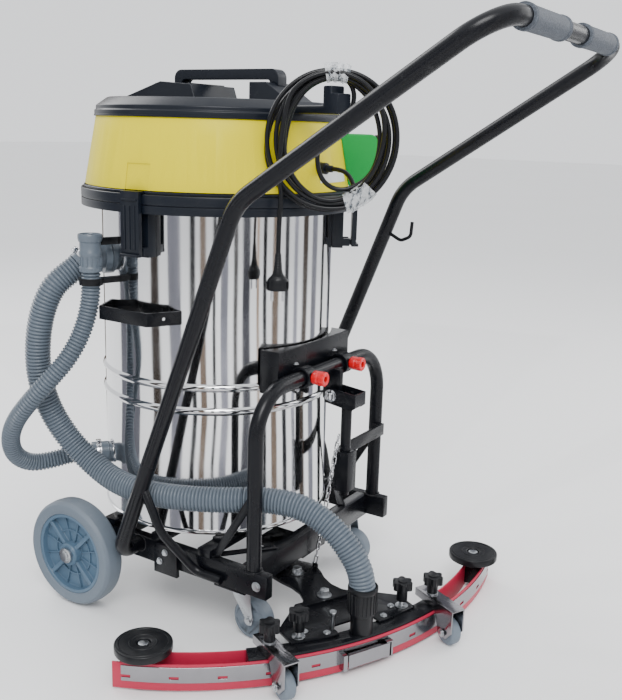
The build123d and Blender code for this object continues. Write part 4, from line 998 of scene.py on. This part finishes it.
class VACUUM_OT_trolley(bpy.types.Operator):
    """Rails, cross members, tubular frame, handle, bracket and stays, with end caps, welds and bolts"""
    bl_idname = "vacuum.trolley"
    bl_label = "Trolley frame"

    def execute(self, context):
        softened("chassis_rails", 0.0022, 3)
        softened("chassis_members", 0.0013, 2)
        softened("lift_frame", 0.0006, 1)
        softened("handle_bar", 0.0006, 1)
        softened("tool_bracket", 0.0009, 2)
        self.bolts()
        self.welds()
        return {"FINISHED"}

    def bolts(self):
        """Bolts through the castor plates, bearers and stays."""
        made = []
        for side in (-1, 1):
            for dx, dy in ((-0.019, -0.025), (0.019, -0.025), (-0.019, 0.025), (0.019, 0.025)):
                spot = row((side * CASTOR_X + dx, CASTOR_Y + dy, 0.103))
                made += bolt_set(facing(spot, (0, 0, -1)), 0.010, 0.0065)
            for x, y, z, size, washer in (
                (0.233, -0.061, 0.138, 0.010, 0.0065), (0.233, -0.048, 0.118, 0.010, 0.0065),
                (0.225, 0.092, 0.136, 0.013, 0.009), (0.225, -0.262, 0.128, 0.013, 0.009),
            ):
                made += bolt_set(facing(row((side * x, y, z)), (side, 0, 0)), size, washer)
        assembled("frame_bolts", made, "plated_steel", "root", "plated_steel")

    def welds(self):
        """Beads of weld round the feet of the tubes."""
        made = []
        for side in (-1, 1):
            for centre, direction, radius in (
                ((side * 0.215, -0.249, 0.1515), (0, 0, 1), 0.0145),
                ((side * 0.2255, 0.008, 0.136), (1, 0, 0), 0.015),
                ((side * CASTOR_X, CASTOR_Y, 0.1026), (0, 0, 1), 0.0185),
            ):
                bpy.ops.object.select_all(action="DESELECT")
                bpy.ops.mesh.primitive_torus_add(major_segments=60, minor_segments=8, major_radius=radius,
                                                 minor_radius=0.0022)
                bead = bpy.context.object
                for vertex in bead.data.vertices:
                    angle = atan2(vertex.co.y, vertex.co.x)
                    vertex.co *= 1 + 0.018 * sin(angle * 17) + 0.01 * sin(angle * 7)
                set_place(bead, facing(row(centre), direction))
                made.append(bead)
        assembled("weld_beads", made, "frame_black", "root", "frame_black", angle=80)


class VACUUM_OT_grips(bpy.types.Operator):
    """Two rubber grips with ridged ends on the push bar"""
    bl_idname = "vacuum.grips"
    bl_label = "Grips"

    def execute(self, context):
        low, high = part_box("handle_grips")
        middle = (low + high) / 2
        radius = (high.z - low.z) / 2
        r = radius - 0.0008
        inner, bore = 0.048, 0.0143
        length = (high.x - low.x) / 2 - inner
        end = [(bore, 0), (r, 0.0005), (radius, 0.0015), (radius, 0.004), (r, 0.005), (r, 0.0066),
               (radius, 0.0076),
               (radius, 0.010), (r - 0.0004, 0.0112)]
        profile = end + [(wide, length - along) for wide, along in reversed(end)]
        made = []
        for side, _ in SIDES:
            made.append(lathe(profile, 56, facing(middle + Vector((side * inner, 0, 0)), (side, 0, 0))))
        assembled("grip_pair", made, "grip_grey", "root", "grip_grey", "handle_grips", merged=True)
        return {"FINISHED"}


class VACUUM_OT_tank(bpy.types.Operator):
    """Polished tank with its rolled beads and seam, collar, latches and fittings"""
    bl_idname = "vacuum.tank"
    bl_label = "Tank"

    def execute(self, context):
        r, low = TANK_RADIUS, TANK_BOTTOM
        profile = [(0, low + 0.004), (r - 0.03, low + 0.004), (r - 0.012, low + 0.002), (r - 0.004, low),
                   (r + 0.001, low), (r + 0.0035, low + 0.0015), (r + 0.004, low + 0.004),
                   (r + 0.0035, low + 0.0065), (r + 0.001, low + 0.008), (r, low + 0.0095)]
        for height in BEAD_HEIGHTS:
            profile.append((r, height - 0.0072))
            for step in range(-2, 3):
                angle = step * pi / 6
                profile.append((r + 0.0042 * cos(angle), height + 0.0055 * sin(angle)))
            profile.append((r, height + 0.0072))
        profile += [(r, TANK_TOP), (r - TANK_WALL, TANK_TOP), (r - TANK_WALL, low + 0.010),
                    (r - 0.012, low + 0.0055), (0, low + 0.0055)]
        shell = [lathe(profile, 160, Matrix.Translation(SHIFT))]
        assembled("tank_shell", shell, "stainless", "root", "stainless", "tank", angle=40)
        seam = []
        for bottom, top in ((0.184, 0.398), (0.462, 0.757)):
            strip = slab((r - 0.0004, -0.0012, bottom), (r + 0.0005, 0.0012, top), bevel=0.0004, segments=2)
            seam.append(strip)
        assembled("tank_seam", seam, "stainless", "root", "stainless", place=turned(35))
        softened("tank_collar", 0.0020, 3)
        for name, angle in LATCH_ANGLES.items():
            softened("latch_" + name, 0.0016, 2)
            self.latch_ribs(name, angle)
        softened("tank_fittings", 0.0014, 2, angle=40)
        self.clamps()
        softened("hose_holder", 0.0008, 2)
        return {"FINISHED"}

    def latch_ribs(self, name, angle):
        """Raised ribs and a finger lip on a latch."""
        low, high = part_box("latch_" + name)
        made = [slab((0.2655, -0.0155, high.z - 0.016), (0.2685, 0.0155, high.z - 0.0125), bevel=0.0007),
                slab((0.2655, -0.019, low.z), (0.2715, 0.019, low.z + 0.005), bevel=0.0014)]
        for k in (-1, 0, 1):
            made.append(slab((0.2655, k * 0.0105 - 0.0016, low.z + 0.012),
                             (0.2679, k * 0.0105 + 0.0016, high.z - 0.024), bevel=0.0007))
        assembled("latch_%s_ribs" % name, made, "head_black", name + "_latch", "head_black",
                  place=turned(angle))

    def clamps(self):
        """Worm-drive clips on the two hose ends, with their screws."""
        made = []
        hoses = bpy.context.scene.vacuum_hoses
        for route, diameter in ((SUCTION_ROUTE, hoses.suction_diameter), (DRAIN_ROUTE, hoses.drain_diameter)):
            end, after = row(route[0]), row(route[1])
            back = (end - after).normalized()
            place = facing(end + back * 0.013, back)
            r = diameter / 2 + 0.0032
            band = [(r - 0.0010, -0.0045), (r, -0.0045), (r + 0.0002, -0.004), (r + 0.0002, 0.004),
                    (r, 0.0045), (r - 0.0010, 0.0045)]
            made.append(lathe(band, 56, place))
            made.append(slab((r - 0.001, -0.007, -0.0052), (r + 0.0042, 0.007, 0.0052), place, 0.0012))
            screw = place @ Matrix.Translation((r + 0.0035, 0.006, 0)) @ Matrix.Rotation(radians(-90), 4, "X")
            made.append(hex_head(0.007, 0.006, screw))
        assembled("hose_clips", made, "bright_steel", "root", "plated_steel")


class VACUUM_OT_head(bpy.types.Operator):
    """Motor head: flange, yellow cowl, lid with its mounds, handle, green panel, hook and gland"""
    bl_idname = "vacuum.head"
    bl_label = "Motor head"

    def execute(self, context):
        softened("head_flange", 0.0022, 3)
        softened("cowl", 0.0015, 2, angle=40)
        softened("lid", 0.0034, 4, angle=24)
        softened("carrying_handle", 0.0034, 4, angle=40)
        softened("side_panel", 0.0034, 4, angle=40)
        softened("cord_hook", 0.0026, 3)
        softened("cord_gland", 0.0008, 2)
        softened("motors", 0.003, 2)
        softened("filter_basket", 0.003, 2)
        self.trim()
        return {"FINISHED"}

    def trim(self):
        """Ribs and rims of the lid and the cowl, the catch of the panel, blank plates and the gland's nut."""
        low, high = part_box("cowl")
        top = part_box("lid")[1].z
        centre = Matrix.Translation(SHIFT)
        rim = [(0.2292, 0.0002), (0.2298, 0.0008), (0.2298, 0.0028), (0.2288, 0.0034), (0.2280, 0.0018)]
        made = [lathe([(r, high.z + z) for r, z in rim], 120, centre)]
        for k in range(5):
            y = 0.030 + 0.020 * k
            corners = (-0.052, y - 0.003, top - 0.0048), (0.052, y + 0.003, top - 0.0022)
            made.append(slab(*corners, centre, 0.0011))
        assembled("lid_ribs", made, "head_black", "root", "head_black")
        foot = [(0.2500, -0.0055), (0.2512, -0.005), (0.2512, -0.002), (0.2502, -0.0012), (0.2490, -0.0035)]
        made = [lathe([(r, low.z + z) for r, z in foot], 120, centre)]
        assembled("cowl_foot_rim", made, "head_black", "root", "head_black")
        z = (low.z + high.z) / 2
        made = [slab((0.291, -0.054, z + 0.004), (0.301, -0.036, z + 0.040), bevel=0.004, segments=4),
                slab((0.286, -0.050, z - 0.022), (0.300, -0.040, z + 0.010), bevel=0.0038, segments=4)]
        assembled("panel_catch", made, "knob_black", "root", "head_black", place=turned(-48))
        made = [self.label(-88, 0.034, low.z + 0.016, 0.022), self.label(-77, 0.020, low.z + 0.016, 0.016)]
        assembled("blank_plates", made, "label_white", "root", "cowl_yellow")
        end, after = row(CORD_LEAD_ROUTE[0]), row(CORD_LEAD_ROUTE[1])
        out = (after - end).normalized()
        made = []
        for k in range(4):
            r = 0.0068 - 0.0004 * k
            ring = [(0.0042, 0), (r, 0.0003), (r, 0.0018), (0.0042, 0.0022)]
            made.append(lathe(ring, 28, facing(end - out * (0.0125 - 0.0032 * k), out)))
        made.append(hex_head(0.021, 0.006, facing(end - out * 0.030, out), 0.0006))
        assembled("gland_nut", made, "head_black", "root", "head_black")

    def label(self, turn, wide, z, tall):
        """Thin blank plate that follows the cowl's cone."""
        low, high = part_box("cowl")
        share = (z - low.z) / (high.z - low.z)
        narrowing = COWL_BOTTOM_RADIUS - COWL_TOP_RADIUS
        radius = COWL_BOTTOM_RADIUS - narrowing * share
        lean = atan2(narrowing, high.z - low.z)
        plate = slab((-wide, -0.0004, 0), (wide, 0.0005, tall), bevel=0.0003, segments=2)
        editing(plate)
        bpy.ops.mesh.subdivide(number_cuts=6)
        done_editing()
        for vertex in plate.data.vertices:
            bent = vertex.co.x / radius
            depth = radius + vertex.co.y + 0.0004 - vertex.co.z * sin(lean)
            vertex.co = Vector((depth * cos(bent), depth * sin(bent), vertex.co.z))
        set_place(plate, Matrix.Translation((0, 0, z)) @ turned(turn))
        return plate


class VACUUM_OT_wheels(bpy.types.Operator):
    """Big wheels with ribbed hubs, castors and rollers"""
    bl_idname = "vacuum.wheels"
    bl_label = "Wheels"

    def execute(self, context):
        def of_wheel(centre):
            return 0 if hypot(centre.y - AXLE_Y, centre.z - AXLE_Z) > HUB_RADIUS else 1

        for side, name in SIDES:
            softened("wheel_" + name, 0.0018, 3, slots=["tyre_grey", "hub_blue"], chooser=of_wheel)
            self.hub_detail(side, name)
            softened("castor_fork_" + name, 0.0007, 2)
            softened("castor_wheel_" + name, 0.0012, 2)
            self.castor_detail(side, name)
        softened("wheel_axle", 0.0012, 2)
        return {"FINISHED"}

    def hub_detail(self, side, name):
        """Bearing, ring of the hub, small ribs and, fixed on the axle, the nut."""
        place = facing(row((side * 0.2943, AXLE_Y, AXLE_Z)), (side, 0, 0))
        bearing = [(0.0125, -0.003), (0.0205, -0.003), (0.0215, -0.0005), (0.0205, 0.0012), (0.0140, 0.0012),
                   (0.0125, 0)]
        made = [lathe(bearing, 48, place)]
        for k in range(12):
            if k % 3 == 1:
                continue
            rib = slab((0.0215, -0.0011, -0.020), (0.0725, 0.0011, -0.0125), bevel=0.0006, segments=2)
            set_place(rib, place @ Matrix.Rotation(k * pi / 6 + pi / 12, 4, "Z"))
            made.append(rib)
        ring = [(0.0430, -0.020), (0.0455, -0.020), (0.0455, -0.0135), (0.0430, -0.0135)]
        made.append(lathe(ring, 64, place))
        assembled("hub_ring_" + name, made, "hub_blue", "wheel_%s_body" % name, "tyre_grey")
        made = bolt_set(facing(row((side * 0.3000, AXLE_Y, AXLE_Z)), (side, 0, 0)), 0.017, 0.0135, 0.0060)
        assembled("axle_nut_" + name, made, "plated_steel", "root", "plated_steel")

    def castor_detail(self, side, name):
        """Nuts on the castor's axle and the kingpin's cap."""
        made = []
        for out in (-1, 1):
            spot = row((side * CASTOR_X + out * 0.0182, -0.227, 0.0375))
            made += bolt_set(facing(spot, (out, 0, 0)), 0.011, 0.0085, 0.004)
        cap = [(0.0185, 0), (0.0195, 0.0005), (0.0195, 0.003), (0.0185, 0.0036), (0.0180, 0.0018)]
        made.append(lathe(cap, 48, Matrix.Translation(row((side * CASTOR_X, CASTOR_Y, 0.0975)))))
        assembled("castor_nuts_" + name, made, "plated_steel", "castor_" + name, "plated_steel")


class VACUUM_OT_lift_gear(bpy.types.Operator):
    """Clamps with their red knobs, lever, rod, guide and the chain"""
    bl_idname = "vacuum.lift_gear"
    bl_label = "Lift gear"

    def execute(self, context):
        softened("frame_clamps", 0.0022, 3)
        softened("lift_rod", 0.001, 2)
        softened("lift_lever", 0.0009, 2)

        def of_guide(centre):
            at_pivot = hypot(centre.y + 0.266, centre.z - 0.4227) < 0.0125
            return 1 if at_pivot and abs(centre.x - 0.020) > 0.0195 else 0

        softened("lift_guide", 0.0008, 2, slots=["frame_black", "bright_steel"], chooser=of_guide)
        self.knobs()
        self.chain()
        return {"FINISHED"}

    def knobs(self):
        """Fluted red knobs of the two clamps, with the hole in the middle and a side screw."""
        knob = [(0.0055, 0.0145), (0.0057, 0.0245), (0.0072, 0.0252), (0.0108, 0.0252), (0.0124, 0.0240),
                (0.0127, 0.0150), (0.0118, 0.0138), (0.0118, 0.0120), (0.0127, 0.0108), (0.0127, 0.0020),
                (0.0118, 0.0004), (0.0055, 0.0004)]
        made, screws = [], []
        for x in (-0.067, 0.067):
            place = facing(row((x, -0.2695, 0.473)), (0, -1, 0))
            made.append(lathe(knob, 40, place))
            for k in range(10):
                flute = slab((0.0117, -0.0013, 0.0150), (0.0134, 0.0013, 0.0238), bevel=0.0006, segments=2)
                set_place(flute, place @ Matrix.Rotation(k * pi / 5, 4, "Z"))
                made.append(flute)
            screws += bolt_set(facing(row((x, -0.2295, 0.4905)), (0, 0, 1)), 0.008, 0.006, 0.004)
        assembled("clamp_caps", made, "cap_red", "root", "cap_red", "clamp_knobs", merged=True)
        assembled("clamp_screws", screws, "plated_steel", "root", "plated_steel")

    def chain(self):
        """Chain of welded links between the rod and the lug of the squeegee's arm."""
        low = swung(0.038, -0.240, 0.080)
        top = Vector((low.x, row((0, -0.290, 0)).y, 0.352))
        pitch, wire, half = 0.0150, 0.00145, 0.0034
        run = top - low
        count = round(run.length / pitch)
        bpy.ops.object.select_all(action="DESELECT")
        bpy.ops.mesh.primitive_torus_add(major_segments=20, minor_segments=8, major_radius=half,
                                         minor_radius=wire)
        link = bpy.context.object
        stretch = run.length / count / 2 - half + wire * 0.7
        for sign in (-1, 1):
            pick(link, lambda co: co.x * sign > 1e-6, "VERT")
            bpy.ops.transform.translate(value=(sign * stretch, 0, 0))
            done_editing()
        made = []
        for k in range(count):
            spot = low + run * ((k + 0.5) / count)
            turn = Matrix.Rotation(radians(90 * (k % 2) + 12 * sin(k * 1.9)), 4, "Z")
            made.append(copy_of(link, facing(spot, run) @ turn @ Matrix.Rotation(radians(90), 4, "Y")))
        bpy.data.objects.remove(link)
        chain = join("lift_chain_links", made)
        paint(chain, "bright_steel")
        smooth(chain, 60)
        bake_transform(chain, "root", "swing_block", start=top, end=low)
        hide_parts("lift_chain")


class VACUUM_OT_squeegee(bpy.types.Operator):
    """Squeegee: arm, hollow body, red blades, slotted straps, knobs, brackets, bumpers and hose cuff"""
    bl_idname = "vacuum.squeegee"
    bl_label = "Squeegee"

    def execute(self, context):
        softened("swing_clevis", 0.0008, 2)
        softened("squeegee_arm", 0.0007, 2)
        softened("squeegee_body", 0.0007, 2)
        softened("squeegee_blades", 0.0005, 2)
        softened("blade_straps", 0.0003, 1)
        softened("toggle_latch", 0.0003, 2)
        softened("squeegee_fasteners", 0.0006, 2)
        softened("roller_brackets", 0.0009, 3)
        for name in ("left", "right"):
            softened("bumper_" + name, 0.0030, 4)
            softened("roller_" + name, 0.0012, 2)
            softened("knob_outer_" + name, 0.0018, 3)
            softened("knob_inner_" + name, 0.0018, 3)
        self.bumper_rings()
        self.cuff()
        self.knob_tops()
        self.bolts()
        return {"FINISHED"}

    def bumper_rings(self):
        """Two raised rings on each bumper wheel."""
        for side, name in SIDES:
            place = Matrix.Translation(swung(side * 0.3555, -0.340, 0.0748))
            made = []
            for r in (0.021, 0.040):
                ring = [(r, 0), (r + 0.0008, 0.0008), (r + 0.0026, 0.0008), (r + 0.0034, 0),
                        (r + 0.0017, -0.0012)]
                made.append(lathe(ring, 72, place))
            assembled("bumper_rings_" + name, made, "knob_black", name + "_bumper", "knob_black", merged=True)

    def cuff(self):
        """Fluted rubber cuff that holds the suction hose."""
        low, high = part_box("hose_cuff")
        place = Matrix.Translation(swung(0, -0.457, 0))
        profile = [(0.015, low.z), (0.0195, low.z), (0.0200, 0.090), (0.0245, 0.093), (0.0252, 0.097),
                   (0.0252, 0.1335),
                   (0.0262, 0.1345), (0.0265, 0.1362), (0.0265, 0.1415), (0.0258, high.z), (0.0236, high.z),
                   (0.0236, 0.113), (0.015, 0.113)]
        made = [lathe(profile, 60, place)]
        flutes = 22
        for k in range(flutes):
            flute = slab((0.0244, -0.0014, 0.0965), (0.0264, 0.0014, 0.1325), bevel=0.0009, segments=3)
            set_place(flute, place @ Matrix.Rotation(k * 2 * pi / flutes, 4, "Z"))
            made.append(flute)
        assembled("fluted_cuff", made, "knob_black", "squeegee", "knob_black", "hose_cuff", merged=True)

    def knob_tops(self):
        """Raised disc on top of each star knob."""
        disc = [(0, 0.1099), (0.0085, 0.1099), (0.0092, 0.1105), (0.0092, 0.1112), (0.0080, 0.1117),
                (0, 0.1117)]
        for kind, x, y in (("outer", 0.172, -0.437), ("inner", 0.1095, -0.427)):
            for side, name in SIDES:
                cap = [lathe(disc, 36, Matrix.Translation(swung(side * x, y, 0)))]
                body = "%s_knob_%s" % (kind, name)
                assembled("knob_cap_%s_%s" % (kind, name), cap, "knob_black", body, "knob_black")

    def bolts(self):
        """Heads on the arm's bolts, screws along the body and nuts on the rollers' axles."""
        made = []
        for y in (-0.235, -0.3345):
            made.append(hex_head(0.0165, 0.0058, Matrix.Translation(swung(0, y, 0.0735))))
        for side in (-1, 1):
            for x, y in ((0.092, -0.418), (0.060, -0.440)):
                made += bolt_set(Matrix.Translation(swung(side * x, y, 0.060)), 0.008, 0.0065, 0.0035)
            for out in (-1, 1):
                spot = swung(side * 0.172 + out * 0.0175, -0.490, 0.025)
                made += bolt_set(facing(spot, swung(out, 0, 0) - swung(0, 0, 0)), 0.010, 0.0078, 0.0038)
        assembled("squeegee_bolts", made, "plated_steel", "squeegee", "plated_steel")


class VACUUM_PT_panel(bpy.types.Panel):
    """Sizes, colours and building steps of the vacuum"""
    bl_idname = "VACUUM_PT_panel"
    bl_label = "Wet-dry vacuum trolley"
    bl_space_type = "VIEW_3D"
    bl_region_type = "UI"
    bl_category = "Vacuum"

    def draw(self, context):
        """A box of settings for each group, then a button for each building step."""
        for group in GROUPS:
            box = self.layout.box()
            box.label(text=group.__doc__)
            for prop in group.__annotations__:
                box.prop(getattr(context.scene, GROUPS[group]), prop)
        for step in STEPS:
            self.layout.operator(step.bl_idname)


GROUPS = {VacuumHoses: "vacuum_hoses", VacuumCord: "vacuum_cord", VacuumBody: "vacuum_body"}
STEPS = [
    VACUUM_OT_stage, VACUUM_OT_mains_cord, VACUUM_OT_suction_hose, VACUUM_OT_drain_hose, VACUUM_OT_trolley,
    VACUUM_OT_grips, VACUUM_OT_tank, VACUUM_OT_head, VACUUM_OT_wheels, VACUUM_OT_lift_gear,
    VACUUM_OT_squeegee,
]


def register():
    for made in [*GROUPS, *STEPS, VACUUM_PT_panel]:
        bpy.utils.register_class(made)
    for group, name in GROUPS.items():
        setattr(bpy.types.Scene, name, PointerProperty(type=group))


def unregister():
    for name in GROUPS.values():
        delattr(bpy.types.Scene, name)
    for made in reversed([*GROUPS, *STEPS, VACUUM_PT_panel]):
        bpy.utils.unregister_class(made)


def main():
    """Mixes the finishes, gives each CAD node its own and builds every piece."""
    register()
    mix_finishes()
    for node, piece in NODES.items():
        paint(piece, SLOT_OF[node])
    for step in STEPS:
        group, name = step.bl_idname.split(".")
        getattr(getattr(bpy.ops, group), name)()


if __name__ == "__main__":
    main()
